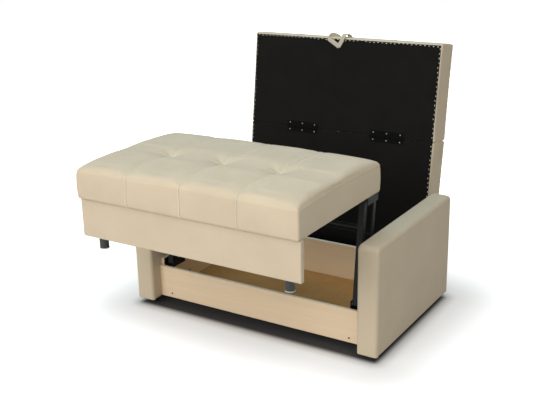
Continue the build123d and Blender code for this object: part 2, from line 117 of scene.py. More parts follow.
# %% Helpers for colours and nodes
def tone(code):
    """Linear colour from a screen colour such as d8c6aa.

    Each channel c above 0.04045 becomes ((c + 0.055) / 1.055) to the power 2.4."""
    c = np.array([int(code[k:k + 2], 16) / 255 for k in (0, 2, 4)])
    linear = np.where(c > 0.04045, ((c + 0.055) / 1.055) ** 2.4, c / 12.92)
    return (*[float(v) for v in linear], 1.0)


def add(tree, kind, values=None, **settings):
    """A new node in a tree: settings by name, socket values or links in a dictionary."""
    made = tree.nodes.new(kind)
    for name, value in settings.items():
        setattr(made, name, value)
    for name, value in (values or {}).items():
        if isinstance(value, bpy.types.NodeSocket):
            tree.links.new(value, made.inputs[name])
        else:
            made.inputs[name].default_value = value
    return made


def maths(tree, operation, first, second=None, third=None):
    """One Math node; its result socket comes back."""
    pairs = {k: v for k, v in enumerate((first, second, third)) if v is not None}
    return add(tree, "ShaderNodeMath", pairs, operation=operation).outputs[0]


def noise(tree, place, scale, detail, **more):
    """A noise texture; its grey value comes back."""
    values = {"Vector": place, "Scale": scale, "Detail": detail, **more}
    return add(tree, "ShaderNodeTexNoise", values).outputs["Fac"]


def between(tree, value, low, high, **settings):
    """0 where a value is at most low, 1 where it is at least high, and even in between."""
    values = {"Value": value, "From Min": low, "From Max": high}
    return add(tree, "ShaderNodeMapRange", values, **settings).outputs[0]


def mix_colours(tree, factor, first, second, blend_type="MIX"):
    """The first of two colours where factor is 0 and the second where it is 1."""
    return add(tree, "ShaderNodeMix", {"Factor": factor, 6: first, 7: second},
               data_type="RGBA", blend_type=blend_type).outputs[2]


def raise_surface(tree, shader, height, distance, strength, **more):
    """Gives a shader the normals of a surface that rises by height * distance."""
    values = {"Height": height, "Distance": distance, "Strength": strength, **more}
    bump = add(tree, "ShaderNodeBump", values)
    tree.links.new(bump.outputs[0], shader.inputs["Normal"])


def new_group(name, inputs, outputs):
    """A shader node group with named sockets. Each input is name, kind and starting value."""
    group = bpy.data.node_groups.new(name, "ShaderNodeTree")
    for label, kind, value in inputs:
        socket = group.interface.new_socket(label, in_out="INPUT", socket_type="NodeSocket" + kind)
        if value is not None:
            socket.default_value = value
    for label, kind in outputs:
        group.interface.new_socket(label, in_out="OUTPUT", socket_type="NodeSocket" + kind)
    read, write = group.nodes.new("NodeGroupInput"), group.nodes.new("NodeGroupOutput")
    return group, read.outputs, write.inputs


def use(tree, group, values):
    """A group placed in a material with its own values; its output sockets come back."""
    return add(tree, "ShaderNodeGroup", values, node_tree=group).outputs


def finish_of(name, **shader_values):
    """A new material: its tree, its Principled shader with plain values, and the place on
    the piece, in metres, that its patterns are drawn by."""
    material = bpy.data.materials.new(name)
    material.use_nodes = True
    tree = material.node_tree
    shader = tree.nodes["Principled BSDF"]
    for label, value in shader_values.items():
        shader.inputs[label.replace("_", " ")].default_value = value
    return material, tree, shader, add(tree, "ShaderNodeTexCoord").outputs["Object"]


print("a middle grey is", round(tone("808080")[0], 3), "in linear light")

# %% [markdown]
# ## Effects that several finishes share
# An effect that several finishes need is a node group: it is built once and placed in each
# material with its own values. The first one is a plain weave, in which yarns run both ways
# and pass over and under each other. It could be a picture of cloth, but two sine waves
# multiplied together look the same and stay sharp at any distance.

# %% Node group: woven yarns
weave, read, write = new_group(
    "woven yarns",
    [("Vector", "Vector", None), ("Yarns per metre", "Float", 900.0), ("Unevenness", "Float", 0.5)],
    [("Height", "Float"), ("Shade", "Float")])
apart = add(weave, "ShaderNodeSeparateXYZ", {0: read["Vector"]})
slub = noise(weave, read["Vector"], 140.0, 3.0)
wobble = maths(weave, "MULTIPLY", slub, read["Unevenness"])
turns = []
for axis in (0, 1):
    along = maths(weave, "MULTIPLY", apart.outputs[axis], read["Yarns per metre"])
    along = maths(weave, "MULTIPLY_ADD", wobble, 1.5, along)
    turns.append(maths(weave, "SINE", maths(weave, "MULTIPLY", along, math.pi)))
crossing = maths(weave, "MULTIPLY", turns[0], turns[1])
weave.links.new(maths(weave, "MULTIPLY_ADD", crossing, 0.5, 0.5), write["Height"])
weave.links.new(between(weave, slub, 0.3, 0.7), write["Shade"])
print("node group ready:", weave.name)

# %% [markdown]
# Upholstery has broad, faint patches where the nap was brushed another way, and paint and
# felt are a little uneven too. A narrow range of a noise makes such patches, and mixes two
# colours that are almost the same.

# %% Node group: broad patches of a slightly other colour
patches, read, write = new_group(
    "broad patches",
    [("Vector", "Vector", None), ("Color", "Color", (0.5, 0.5, 0.5, 1)),
     ("Other", "Color", (0.4, 0.4, 0.4, 1)), ("Patches per metre", "Float", 6.0),
     ("Amount", "Float", 0.5)],
    [("Color", "Color"), ("Mask", "Float")])
cloudy = noise(patches, read["Vector"], read["Patches per metre"], 4.0, Roughness=0.55)
mask = between(patches, cloudy, 0.35, 0.68)
amount = maths(patches, "MULTIPLY", mask, read["Amount"])
patches.links.new(mix_colours(patches, amount, read["Color"], read["Other"]), write["Color"])
patches.links.new(mask, write["Mask"])


def tint(tree, place, colour, other, per_metre, amount):
    """Two colours in broad patches; the group's output sockets come back."""
    return use(tree, patches, {"Vector": place, "Color": tone(colour), "Other": tone(other),
                               "Patches per metre": per_metre, "Amount": amount})


print("node group ready:", patches.name)

# %% [markdown]
# Wood has long streaks. The noise is squeezed for them: its place is multiplied by a small
# number along the grain and by large ones across it. A finer noise adds the pores.

# %% Node group: wood grain in streaks along one direction
grain, read, write = new_group(
    "wood grain",
    [("Vector", "Vector", None), ("Light", "Color", (0.5, 0.4, 0.3, 1)),
     ("Dark", "Color", (0.4, 0.3, 0.2, 1)), ("Stretch", "Vector", (2.0, 40.0, 40.0)),
     ("Amount", "Float", 0.5)],
    [("Color", "Color"), ("Height", "Float")])
squeezed = add(grain, "ShaderNodeVectorMath", {0: read["Vector"], 1: read["Stretch"]},
               operation="MULTIPLY")
streaks = noise(grain, squeezed.outputs[0], 1.0, 5.0, Roughness=0.6, Distortion=0.4)
pores = noise(grain, squeezed.outputs[0], 6.0, 2.0)
both = maths(grain, "MULTIPLY_ADD", pores, 0.35, streaks)
amount = maths(grain, "MULTIPLY", between(grain, both, 0.5, 0.85), read["Amount"])
grain.links.new(mix_colours(grain, amount, read["Light"], read["Dark"]), write["Color"])
grain.links.new(both, write["Height"])
print("node group ready:", grain.name)

# %% [markdown]
# Painted steel and board edges catch the light where their corners are rubbed. The Bevel
# node gives a softened normal, which differs from the true one only near an edge. Their
# difference is a mask of the edges, and nothing has to be painted by hand.

# %% Node group: worn edges
edges, read, write = new_group(
    "worn edges",
    [("Radius", "Float", 0.002), ("Spread", "Float", 4.0), ("Vector", "Vector", None)],
    [("Mask", "Float"), ("Normal", "Vector")])
soft = add(edges, "ShaderNodeBevel", {"Radius": read["Radius"]}, samples=4)
true = add(edges, "ShaderNodeNewGeometry")
same = add(edges, "ShaderNodeVectorMath", {0: soft.outputs[0], 1: true.outputs["True Normal"]},
           operation="DOT_PRODUCT")
bend = maths(edges, "SUBTRACT", 1.0, same.outputs["Value"])
rubbed = maths(edges, "MULTIPLY", maths(edges, "MULTIPLY", bend, read["Spread"]),
               noise(edges, read["Vector"], 60.0, 3.0))
edges.links.new(add(edges, "ShaderNodeClamp", {"Value": rubbed}).outputs[0], write["Mask"])
edges.links.new(soft.outputs[0], write["Normal"])
print("node group ready:", edges.name)

# %% [markdown]
# ## The upholstery cloth
# The cover is a soft, matt, closely woven beige cloth. The weave follows the cloth, so it is
# drawn in the piece's own UV map, which every cloth surface below carries in metres. A
# pattern drawn in space would be simpler, but it would smear on the steep sides. The faint
# sheen of short fibres is a plain number on the shader. Stitches are paler thread, and the
# raised seam lines share that pale finish as a painted highlight along the seam ridges.

# %% Upholstery, thread and webbing
def cloth(name, colour, other, yarns, depth, sheen):
    """A woven finish on a piece's UV map, in metres."""
    material, tree, shader, solid = finish_of(name, Roughness=0.92, Sheen_Weight=sheen,
                                              Sheen_Roughness=0.5, Specular_IOR_Level=0.25)
    place = add(tree, "ShaderNodeUVMap", uv_map="cloth").outputs[0]
    yarn = use(tree, weave, {"Vector": place, "Yarns per metre": yarns, "Unevenness": 0.6})
    nap = tint(tree, solid, colour, other, 5.0, 0.6)
    shade = maths(tree, "MULTIPLY", yarn["Shade"], 0.25)
    darker = mix_colours(tree, shade, nap["Color"], (0.78, 0.76, 0.72, 1), "MULTIPLY")
    tree.links.new(darker, shader.inputs["Base Color"])
    rise = maths(tree, "MULTIPLY_ADD", noise(tree, solid, 9.0, 3.0), 3.0, yarn["Height"])
    raise_surface(tree, shader, rise, depth, 0.7)
    return material


upholstery = cloth("upholstery", "d6c7ae", "cdbea5", 800.0, 0.0005, 0.2)
# Partly painted highlight: this pale finish is the stitches' thread and also the raised seam
# lines', whose cloth it paints lighter as a lit ridge.
thread_and_welt_highlight = cloth("stitching, with painted welt highlight", "ece3d0", "e4dac5", 2500.0, 0.0001, 0.1)
webbing = cloth("webbing", "c6bfae", "b8b09e", 700.0, 0.0005, 0.15)
print("cloth finishes ready")

# %% [markdown]
# ## The black lining
# The undersides are closed with a black non-woven lining: a felt of fine fibres with no
# yarns. Noise gives both its colour and its tooth, because felt has no direction that a
# pattern would have to follow.

# %% Black lining
lining, tree, shader, solid = finish_of("black lining", Roughness=0.9, Sheen_Weight=0.02,
                                        Specular_IOR_Level=0.12)
wide = tint(tree, solid, "0f0e0c", "151411", 7.0, 0.7)
tree.links.new(wide["Color"], shader.inputs["Base Color"])
rise = maths(tree, "MULTIPLY_ADD", noise(tree, solid, 5.0, 3.0), 4.0,
             noise(tree, solid, 900.0, 2.0))
raise_surface(tree, shader, rise, 0.0004, 0.6)
print("finish ready:", lining.name)

# %% [markdown]
# ## Boards
# The box is made of coated particle board with pale edges, and its floor is thin brown
# fibreboard. One function makes all the boards. The direction of the grain is one of its
# values, so that the streaks run along each board. The rear and side boards inside the box
# are the front board's laminate made lighter: painted light inside the box.

# %% Boards: grain, pale worn edges
def board(name, light, dark, edge, stretch, rough, amount=0.6, wear=5.0, up_edge=0.0):
    """A board with streaks along one direction and rubbed, paler edges.

    With up_edge, faces that look straight up are the pale sawn edge of the board."""
    material, tree, shader, solid = finish_of(name, Roughness=rough, Specular_IOR_Level=0.35)
    wood = use(tree, grain, {"Vector": solid, "Light": tone(light), "Dark": tone(dark),
                             "Stretch": stretch, "Amount": amount})
    worn = use(tree, edges, {"Radius": 0.0016, "Spread": wear, "Vector": solid})
    normal = add(tree, "ShaderNodeNewGeometry").outputs["Normal"]
    facing = add(tree, "ShaderNodeSeparateXYZ", {0: normal})
    top = maths(tree, "MULTIPLY", maths(tree, "GREATER_THAN", facing.outputs[2], 0.8), up_edge)
    pale = maths(tree, "MAXIMUM", worn["Mask"], top)
    mixed = mix_colours(tree, pale, wood["Color"], tone(edge))
    tree.links.new(mixed, shader.inputs["Base Color"])
    raise_surface(tree, shader, wood["Height"], 0.0002, 0.4, Normal=worn["Normal"])
    return material


along_x, along_y = (1.5, 60.0, 60.0), (60.0, 1.5, 60.0)  # the grain's direction
front_board_finish = board("front board", "edd7b8", "e1c8a5", "efe6d3", along_x, 0.42,
                           amount=0.5, up_edge=0.9)
# Painted light: the rear and side boards are the same laminate as the front board, made lighter to
# stand in for the light inside the box.
inner_board_painted_lighter = board("inner board, painted lighter", "f6dfbe", "ead0aa", "f4ecdd", along_x, 0.5,
                           amount=0.5, up_edge=0.9)
side_board_painted_lighter = board("side board, painted lighter", "f2dab6", "e6caa2", "f4ecdd", along_y, 0.5,
                          amount=0.5, up_edge=0.9)
floor_finish = board("fibreboard", "bb8a4e", "a37540", "cba066", (8.0, 9.0, 9.0), 0.55, wear=2.0)
timber_finish = board("timber", "c9a878", "ad8757", "dfc79f", (3.0, 45.0, 45.0), 0.7)
panel_finish = board("covered panel", "1c1b19", "161513", "2a2926", (40.0, 40.0, 40.0), 0.85)
print("boards ready")

# %% [markdown]
# ## Painted steel, zinc and plastic
# The swing arms are painted black, the small fixings are zinc plated, and the legs are black
# plastic with a pale glide. The staples are matt and almost white, a painted glint of their
# bright wire. These hard finishes differ only in colour, roughness, gloss and wear, so one
# function makes them all.

# %% Painted steel, zinc and plastic
def metal(name, colour, other, rough, metallic, edge, wear, gloss=0.5):
    """A hard finish with uneven roughness and rubbed edges."""
    material, tree, shader, solid = finish_of(name, Metallic=metallic, Specular_IOR_Level=gloss)
    coat = tint(tree, solid, colour, other, 40.0, 0.7)
    worn = use(tree, edges, {"Radius": 0.001, "Spread": wear, "Vector": solid})
    mixed = mix_colours(tree, worn["Mask"], coat["Color"], tone(edge))
    tree.links.new(mixed, shader.inputs["Base Color"])
    dull = maths(tree, "MULTIPLY_ADD", coat["Mask"], 0.12, rough)
    tree.links.new(dull, shader.inputs["Roughness"])
    raise_surface(tree, shader, noise(tree, solid, 500.0, 2.0), 0.0001, 0.3,
                  Normal=worn["Normal"])
    return material


black_steel = metal("black steel", "0f1010", "151616", 0.55, 0.0, "2e2f30", 1.2, gloss=0.2)
zinc = metal("zinc", "b9bbbd", "9fa1a3", 0.32, 1.0, "d8dadb", 3.0)
dark_hinge = metal("dark hinge", "0c0c0c", "101010", 0.8, 0.0, "151515", 0.5, gloss=0.05)
dull_screw = metal("dull screw", "8e8e8a", "7c7c78", 0.5, 0.3, "a8a8a4", 1.0)
# Painted glint: matt and almost white, not metallic, so the staples look bright even in the shade
# under the cushions.
staple_wire_painted_glint = metal("staple wire, painted glint", "fbfaf4", "f2f0e8", 0.5, 0.0, "ffffff", 0.45)
black_plastic = metal("black plastic", "151616", "1b1c1d", 0.55, 0.0, "2a2b2c", 1.0)
grey_nylon = metal("grey nylon", "b4b4b0", "a2a29d", 0.45, 0.0, "cfcfca", 1.5)
print("hard finishes ready")

# %% [markdown]
# ## A finish for every CAD piece
# Boards, steel and screws are shown just as the CAD model has them. A table gives most of
# them their finish by name, and the ends of the names tell the rest apart.

# %% Give each CAD piece its finish
finishes = {}
for finish, names in (
        (front_board_finish, "box_front_board"), (inner_board_painted_lighter, "box_rear_board"),
        (side_board_painted_lighter, "box_side_board_left box_side_board_right"),
        (floor_finish, "box_floor"), (panel_finish, "box_back_panel"),
        (timber_finish, "floor_battens corner_blocks arm_inner_boards arm_outer_boards arm_posts "
                        "arm_rails seat_board fascia_board back_lower_board back_upper_board"),
        (black_plastic, "arm_glides seat_leg_left seat_leg_right"), (grey_nylon, "leg_glides"),
        (dull_screw, "hinge_lower_screws hinge_upper_screws"),
        (black_steel, "front_board_screws")):
    finishes.update(dict.fromkeys(names.split(), finish))
bright = ("screws", "bolts", "spacers")
for name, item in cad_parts.items():
    if name not in finishes and "leaf" in name:
        finishes[name] = dark_hinge
    elif name not in finishes:
        finishes[name] = zinc if name.endswith(bright) else black_steel
    item.data.materials.clear()
    item.data.materials.append(finishes[name])
print(len(finishes), "CAD pieces have their finish")

# %% [markdown]
# ## Making meshes from arrays
# Every new piece is a grid of points worked out with numpy. `grid_quads` lists the four
# corners of each cell, and `make_piece` hands the arrays to Blender in one go, together with
# a UV map in metres, so that the weave has its real size.

# %% Helpers that turn arrays into pieces
def grid_quads(rows, columns, loop=False):
    """Corner numbers of the cells of a grid whose points are stored row by row.

    With loop, the last column is joined to the first."""
    i = np.arange(rows - 1)[:, None]
    j = np.arange(columns if loop else columns - 1)[None, :]
    k = (j + 1) % columns
    cells = np.stack([i * columns + j, i * columns + k, (i + 1) * columns + k,
                      (i + 1) * columns + j], axis=-1)
    return cells.reshape(-1, 4)


def grid_of(xs, ys):
    """x and y of every point of a grid, row by row."""
    return [values.ravel() for values in np.meshgrid(xs, ys, indexing="ij")]


def make_piece(name, points, faces, material, corner_uv=None):
    """A mesh object from an array of points and a list of arrays of faces."""
    mesh = bpy.data.meshes.new(name)
    counts = np.concatenate([np.full(len(f), f.shape[1]) for f in faces])
    corners = np.concatenate([f.ravel() for f in faces])
    mesh.vertices.add(len(points))
    mesh.vertices.foreach_set("co", np.ascontiguousarray(points, np.float32).ravel())
    mesh.loops.add(len(corners))
    mesh.loops.foreach_set("vertex_index", corners.astype(np.int32))
    mesh.polygons.add(len(counts))
    starts = np.concatenate([[0], np.cumsum(counts)[:-1]])
    mesh.polygons.foreach_set("loop_start", starts.astype(np.int32))
    mesh.update(calc_edges=True)
    uv = mesh.uv_layers.new(name="cloth")
    if corner_uv is None:
        corner_uv = points[corners][:, :2]
    uv.data.foreach_set("uv", np.ascontiguousarray(corner_uv, np.float32).ravel())
    mesh.polygons.foreach_set("use_smooth", np.full(len(counts), True))
    mesh.materials.append(material)
    mesh.validate()
    return put_in_scene(name, mesh)


def points_of(piece):
    """The points of a mesh as an array."""
    co = np.zeros(len(piece.data.vertices) * 3, np.float32)
    piece.data.vertices.foreach_get("co", co)
    return co.reshape(-1, 3).astype(float)


def place_points(piece, points):
    """Writes an array of points back into a mesh."""
    piece.data.vertices.foreach_set("co", np.ascontiguousarray(points, np.float32).ravel())
    piece.data.update()


print("a grid of 3 by 4 points has", len(grid_quads(3, 4)), "cells")

# %% [markdown]
# ## Finishing a mesh
# A Subdivision Surface rounds the cloth between its points, and Solidify gives a sheet its
# thickness. A pad is open underneath, where nobody sees it. It could be closed first, but a
# subdivided face with hundreds of corners is very slow, so the pad is smoothed first.

# %% Helpers that finish a mesh
def smooth_more(piece):
    """A Subdivision Surface that is the same in the viewport and in the render."""
    step = piece.modifiers.new("smooth", "SUBSURF")
    step.levels = step.render_levels = 1
    return piece


def rework(mesh, change):
    """Opens a mesh for editing, changes it and turns its faces outwards."""
    work = bmesh.new()
    work.from_mesh(mesh)
    change(work)
    bmesh.ops.recalc_face_normals(work, faces=work.faces)
    work.to_mesh(mesh)
    work.free()


def close_hole(work):
    """One flat face in the opening of an opened mesh."""
    bmesh.ops.holes_fill(work, edges=[e for e in work.edges if e.is_boundary], sides=0)
    for face in work.faces:
        face.smooth = len(face.verts) < 5


def join_double_points(work):
    """One point where an opened mesh has several in the same place."""
    bmesh.ops.remove_doubles(work, verts=work.verts, dist=1e-6)


def fix_and_close(piece):
    """Applies the piece's modifiers, then closes the opening under it with one flat face."""
    shown = piece.evaluated_get(bpy.context.evaluated_depsgraph_get())
    mesh = bpy.data.meshes.new_from_object(shown)
    piece.modifiers.clear()
    piece.data = mesh
    rework(mesh, close_hole)


def give_wall(piece, thickness):
    """A sheet's thickness, half to each side of its points."""
    wall = piece.modifiers.new("thickness", "SOLIDIFY")
    wall.thickness, wall.offset = thickness, 0.0


# %% [markdown]
# ## A pad as a lid with a skirt
# A boxed pad is one grid for its top and a skirt round it that runs down the four sides and
# turns under the edge. Both are described by flat numbers first: x and y across the cloth
# and `drop`, how far down the skirt a point lies. The shape is a second step, a function of
# those numbers, so the same cloth can be swollen, creased and sewn without losing its map.

# %% The flat cloth of a pad
def spaced(ends, cells, crowd=0.35):
    """Places between the given ends, with the same number of cells in each stretch.

    Within a stretch the place is t - crowd * sin(2 pi t) / (2 pi), which crowds the lines
    towards both of its ends, where the seams and edges are."""
    t = np.arange(cells) / cells
    t = t - crowd * np.sin(2 * np.pi * t) / (2 * np.pi)
    ends = np.asarray(ends, float)
    inner = (ends[:-1, None] + (ends[1:] - ends[:-1])[:, None] * t[None, :]).ravel()
    return np.append(inner, ends[-1])


def lid_and_skirt(xs, ys, drops):
    """Flat numbers (x, y, drop), faces and UV map of a lid with a skirt round it.

    The lid's cloth coordinates are x and y. The skirt's continue them outwards by the drop,
    so the weave runs on over each edge."""
    nx, ny = len(xs), len(ys)
    lid = np.column_stack([*grid_of(xs, ys), np.zeros(nx * ny)])
    i, j = np.arange(nx), np.arange(ny)
    rim = np.concatenate([i[:-1] * ny, (nx - 1) * ny + j[:-1], i[:0:-1] * ny + ny - 1, j[:0:-1]])
    side = np.repeat([0, 1, 2, 3], [nx - 1, ny - 1, nx - 1, ny - 1])
    n = len(rim)
    skirt = np.concatenate([np.column_stack([lid[rim, :2], np.full(n, d)]) for d in drops])
    flat = np.concatenate([lid, skirt])
    top = grid_quads(nx, ny)
    numbers = np.concatenate([rim, np.arange(n * len(drops)) + nx * ny]).reshape(-1, n)
    here, after = numbers, np.roll(numbers, -1, axis=1)
    walls = np.stack([here[:-1], here[1:], after[1:], after[:-1]], axis=-1)
    wall_side = np.broadcast_to(side, walls.shape[:2]).ravel()
    walls = walls.reshape(-1, 4)
    uv_top = flat[top.ravel()][:, :2]
    p = flat[walls.ravel()]
    s = np.repeat(wall_side, 4)
    u = p[:, 0] + np.where(s == 1, p[:, 2], 0) - np.where(s == 3, p[:, 2], 0)
    v = p[:, 1] + np.where(s == 2, p[:, 2], 0) - np.where(s == 0, p[:, 2], 0)
    uv = np.concatenate([uv_top, np.column_stack([u, v])])
    return flat, [top, walls], uv, numbers


def boxed(flat, height):
    """The flat numbers stood up as a plain box: down the sides by the drop, and from the
    lower edge on inwards under the box. The plan shrinks towards its middle there, so that
    no two points meet, because cloth with edges of no length can't be simulated."""
    low, high = flat[:, :2].min(0), flat[:, :2].max(0)
    middle, half = (low + high) / 2, (high - low) / 2
    under = np.maximum(flat[:, 2] - height, 0)[:, None]
    plan = middle + (flat[:, :2] - middle) * (1 - under / half)
    return np.column_stack([plan, height - np.minimum(flat[:, 2], height)])


def rounded(points, low, high, radius):
    """A box's edges and corners rounded: a point keeps its place on a smaller box, and its
    way out from there is given the length of the radius."""
    low, high = np.asarray(low), np.asarray(high)
    r = np.broadcast_to(radius, len(points))[:, None]
    inner = np.clip(points, low + r, high - r)
    way = points - inner
    length = np.linalg.norm(way, axis=1, keepdims=True)
    return np.where(length > 1e-9, inner + way / np.maximum(length, 1e-9) * r, points)


print("three places between 0 and 1:", spaced([0, 1], 4).round(3)[1:-1])

# %% [markdown]
# ## The sewn pad
# The seat and both back sections share one pattern: three seams run over each pad from
# front to rear and divide it into four columns. A little before the middle of each seam a
# tuft pulls the cloth down deeply, and a soft valley joins the tufts across the pad. Close to
# its rim the pad rises quickly from the crisp edge of its box. It could be sculpted by hand,
# but a formula keeps the three pads alike. This first shape has the forms gently, and a
# cloth simulation then swells the pillows between them.

# %% Sizes and curves of a sewn pad
seam_columns = 4                      # pillows across the pad
tuft_share = 0.45                     # where the tufts sit, as a share of the pad's length
pad_edge_radius = 0.013               # the edge round the top
low_edge_radius = 0.007               # and the edge round the bottom
side_seam_drop = 0.010                # how far the puckered side seam runs below the edge
side_climb, end_climb = 0.016, 0.030  # how far inside the rim the pad has mostly risen
dome_along, dome_across = 0.36, 0.24  # the share of the crown that is one smooth dome
valley_depth, valley_width = 0.0055, 0.030
groove_depth, groove_width = 0.0035, 0.008
rear_valley = 0.55                    # the seams are shallower behind the tufts
cross_depth, cross_width, cross_skew = 0.0065, 0.055, 0.025
fold_depth, fold_reach, fold_count = 0.0022, 0.075, 5
wall_belly, waist_depth = 0.003, 0.004  # how far walls swell and long sides are pulled in
notch_depth, pucker_length = 0.0035, 0.031


def seam_places(half_width):
    """The x of the seams between the columns."""
    return -half_width + 2 * half_width * np.arange(1, seam_columns) / seam_columns


def bell(distance, width):
    """A bell curve: e to the power of minus the square of distance over width."""
    return np.exp(-(distance / width) ** 2)


def half_sine(at, length):
    """0 at both ends of a length and 1 in its middle."""
    return np.sin(np.pi * np.clip(at / length, 0, 1))


def which_end(at, low, high):
    """-1 up to the low end, 1 from the high end on, and 0 between them."""
    return np.where(at <= low, -1.0, np.where(at >= high, 1.0, 0.0))


def pad_distances(x, y, half_width, length):
    """Distances to the nearest seam, to the cross valley and to the nearest long side."""
    to_seam = np.abs(x[:, None] - seam_places(half_width)[None, :]).min(1)
    return to_seam, np.abs(y - tuft_share * length), half_width - np.abs(x)


print("the seams of a pad 1 m wide lie at", seam_places(0.5))

# %% [markdown]
# The height of the lid is one sum, and each of its terms is one thing that can be seen on
# the real pad. The walls get a smaller sum of their own. To change the look of the pad, one
# of the numbers above is changed, and nothing has to be modelled again.

# %% The first shape of a sewn pad
def pad_form(flat, half_width, length, height, crown, tuft_depth):
    """The first shape of a sewn pad, from its flat numbers.

    Height above the edge = dome + rise * (crown - seam valley - cross valley - tuft + fold).
    The dome is a half sine both ways and lifts the rim too. Rise grows from 0 at the rim to 1
    some centimetres inside it, each valley is a bell curve of the distance to its seam, and
    the folds are a cosine of the direction round a tuft. The walls are a shallow half sine,
    pulled in along a puckered seam."""
    x, y, drop = flat.T
    p = boxed(flat, height)
    share = np.clip(p[:, 2] / height, 0, 1)
    radius = low_edge_radius + (pad_edge_radius - low_edge_radius) * share ** 2
    p = rounded(p, [-half_width, 0, 0], [half_width, length, height], radius)

    to_seam, to_cross, to_side = pad_distances(x, y, half_width, length)
    to_end = np.minimum(y, length - y)
    rise = ((1 - np.exp(-np.maximum(to_side, 0) / side_climb))
            * (1 - np.exp(-np.maximum(to_end, 0) / end_climb)))
    dome = (dome_along * crown * half_sine(y, length) ** 0.8
            + dome_across * crown * half_sine(x + half_width, 2 * half_width) ** 0.8)
    crown = (dome_along + dome_across) * crown
    front = np.where(y < tuft_share * length, 1.0, rear_valley)
    valley = front * (valley_depth * bell(to_seam, valley_width)
                      + groove_depth * bell(to_seam, groove_width))
    slant = y - tuft_share * length - cross_skew * x
    cross = cross_depth * bell(slant, cross_width) * (0.45 + 0.55 * bell(to_seam, 0.10))
    reach = np.hypot(to_seam, to_cross)
    tuft = tuft_depth * (0.6 * bell(reach, 0.050) + 0.4 * bell(reach, 0.017))
    direction = np.arctan2(to_cross, to_seam)
    fold = fold_depth * bell(reach, fold_reach) * np.cos(fold_count * direction + 0.6)
    p[:, 2] += np.where(drop <= 0, rise * (crown - valley - cross - tuft + fold), 0)

    outward_x = which_end(x, -half_width, half_width)
    outward_y = which_end(y, 0, length)
    belly = wall_belly * half_sine(drop, height)
    notch = notch_depth * bell(to_seam, 0.020) * half_sine(drop * 1.3, height)
    waist = waist_depth * half_sine(y, length)
    tight = 0.0016 * bell(drop - side_seam_drop, 0.005)
    pucker = (0.0009 * np.sin(2 * np.pi * y / pucker_length + 2.2 * np.sin(y * 23))
              * bell(drop - side_seam_drop, 0.014))
    on_wall = drop <= height
    p[:, 0] += np.where(on_wall, outward_x * (belly - waist - tight + pucker), 0)
    p[:, 1] += np.where(on_wall, outward_y * (belly - notch), 0)
    p[:, 2] += np.where(drop < height * 0.5, np.abs(outward_x) * pucker * 0.8, 0)
    p[:, 2] += dome * share ** 1.5
    return p


# %% [markdown]
# ## Swelling the cloth
# Stuffed cloth bulges between the places where it is sewn down. Blender's Cloth modifier
# does that: a pressure inside, no gravity, and a vertex group that says how firmly each
# point is held. After twenty steps the points are read back and the modifier is taken off,
# so the piece is a plain mesh again.

# %% Swell a piece as cloth
pressure, slack, frames = 0.05, -0.003, 20
hold_levels = 20  # the number of different weights in the vertex group


def swell(piece, held, most):
    """Cloth simulation on a piece, with its result written back into the mesh.

    held is a number from 0 to 1 for each point: 1 stays where it is. A slack below 0 gives
    the cloth more length than its shape, so it folds. A point moves by the simulation's way,
    shortened to most and multiplied by 1 - held."""
    scene = bpy.context.scene
    first = points_of(piece)
    group = piece.vertex_groups.new(name="held")
    levels = np.round(np.clip(held, 0, 1) * hold_levels).astype(int)
    for level in np.unique(levels):
        group.add(np.nonzero(levels == level)[0].tolist(), float(level) / hold_levels, "REPLACE")
    step = piece.modifiers.new("swell", "CLOTH")
    cloth_values = {"quality": 5, "mass": 0.25, "tension_stiffness": 25,
                    "compression_stiffness": 25, "shear_stiffness": 8, "bending_stiffness": 0.6,
                    "vertex_group_mass": "held", "shrink_min": slack, "use_pressure": True,
                    "uniform_pressure_force": pressure}
    for name, value in cloth_values.items():
        setattr(step.settings, name, value)
    step.settings.effector_weights.gravity = 0
    step.collision_settings.use_collision = False
    step.point_cache.frame_start, step.point_cache.frame_end = 1, frames
    for number in range(1, frames + 1):
        scene.frame_set(number)
    shown = piece.evaluated_get(bpy.context.evaluated_depsgraph_get())
    moved = np.zeros(len(first) * 3, np.float32)
    shown.data.vertices.foreach_get("co", moved)
    way = moved.reshape(-1, 3) - first
    length = np.linalg.norm(way, axis=1, keepdims=True)
    way *= np.minimum(1, most / np.maximum(length, 1e-9)) * (1 - held[:, None])
    piece.modifiers.remove(step)
    scene.frame_set(1)
    place_points(piece, first + way)
    piece.vertex_groups.clear()
    furthest = float(np.linalg.norm(way, axis=1).max())
    print("  swelled", piece.name, "by up to", round(furthest * 1000, 1), "mm")


# %% [markdown]
# ## Stitches
# A row of stitches is a small capsule of thread repeated along a seam. The seam is a line of
# points read from the finished cloth, so the stitches lie in it wherever it went. Each
# capsule has only a few dozen faces, because there are hundreds of them.

# %% Rows of small parts along a line
rod_sides, rod_rings = 6, 5


def capsule(length, radius):
    """A round-ended rod along x, as points and faces. With t from -1 to 1 along it, its
    circles have the size radius times the square root of 1 - |t| cubed."""
    t = np.linspace(-1, 1, rod_rings)
    size = np.sqrt(np.clip(1 - np.abs(t) ** 3, 0, 1)) * radius
    a = np.arange(rod_sides) / rod_sides * 2 * np.pi
    points = np.column_stack([np.repeat(t * length / 2, rod_sides),
                              np.outer(size, np.cos(a)).ravel(), np.outer(size, np.sin(a)).ravel()])
    return points, grid_quads(rod_rings, rod_sides, loop=True)


def unit(vectors):
    """Vectors shortened or stretched to length 1."""
    return vectors / np.maximum(np.linalg.norm(vectors, axis=1, keepdims=True), 1e-9)


def run_along(line):
    """How far along a line each of its points lies."""
    return np.concatenate([[0], np.cumsum(np.linalg.norm(np.diff(line, axis=0), axis=1))])


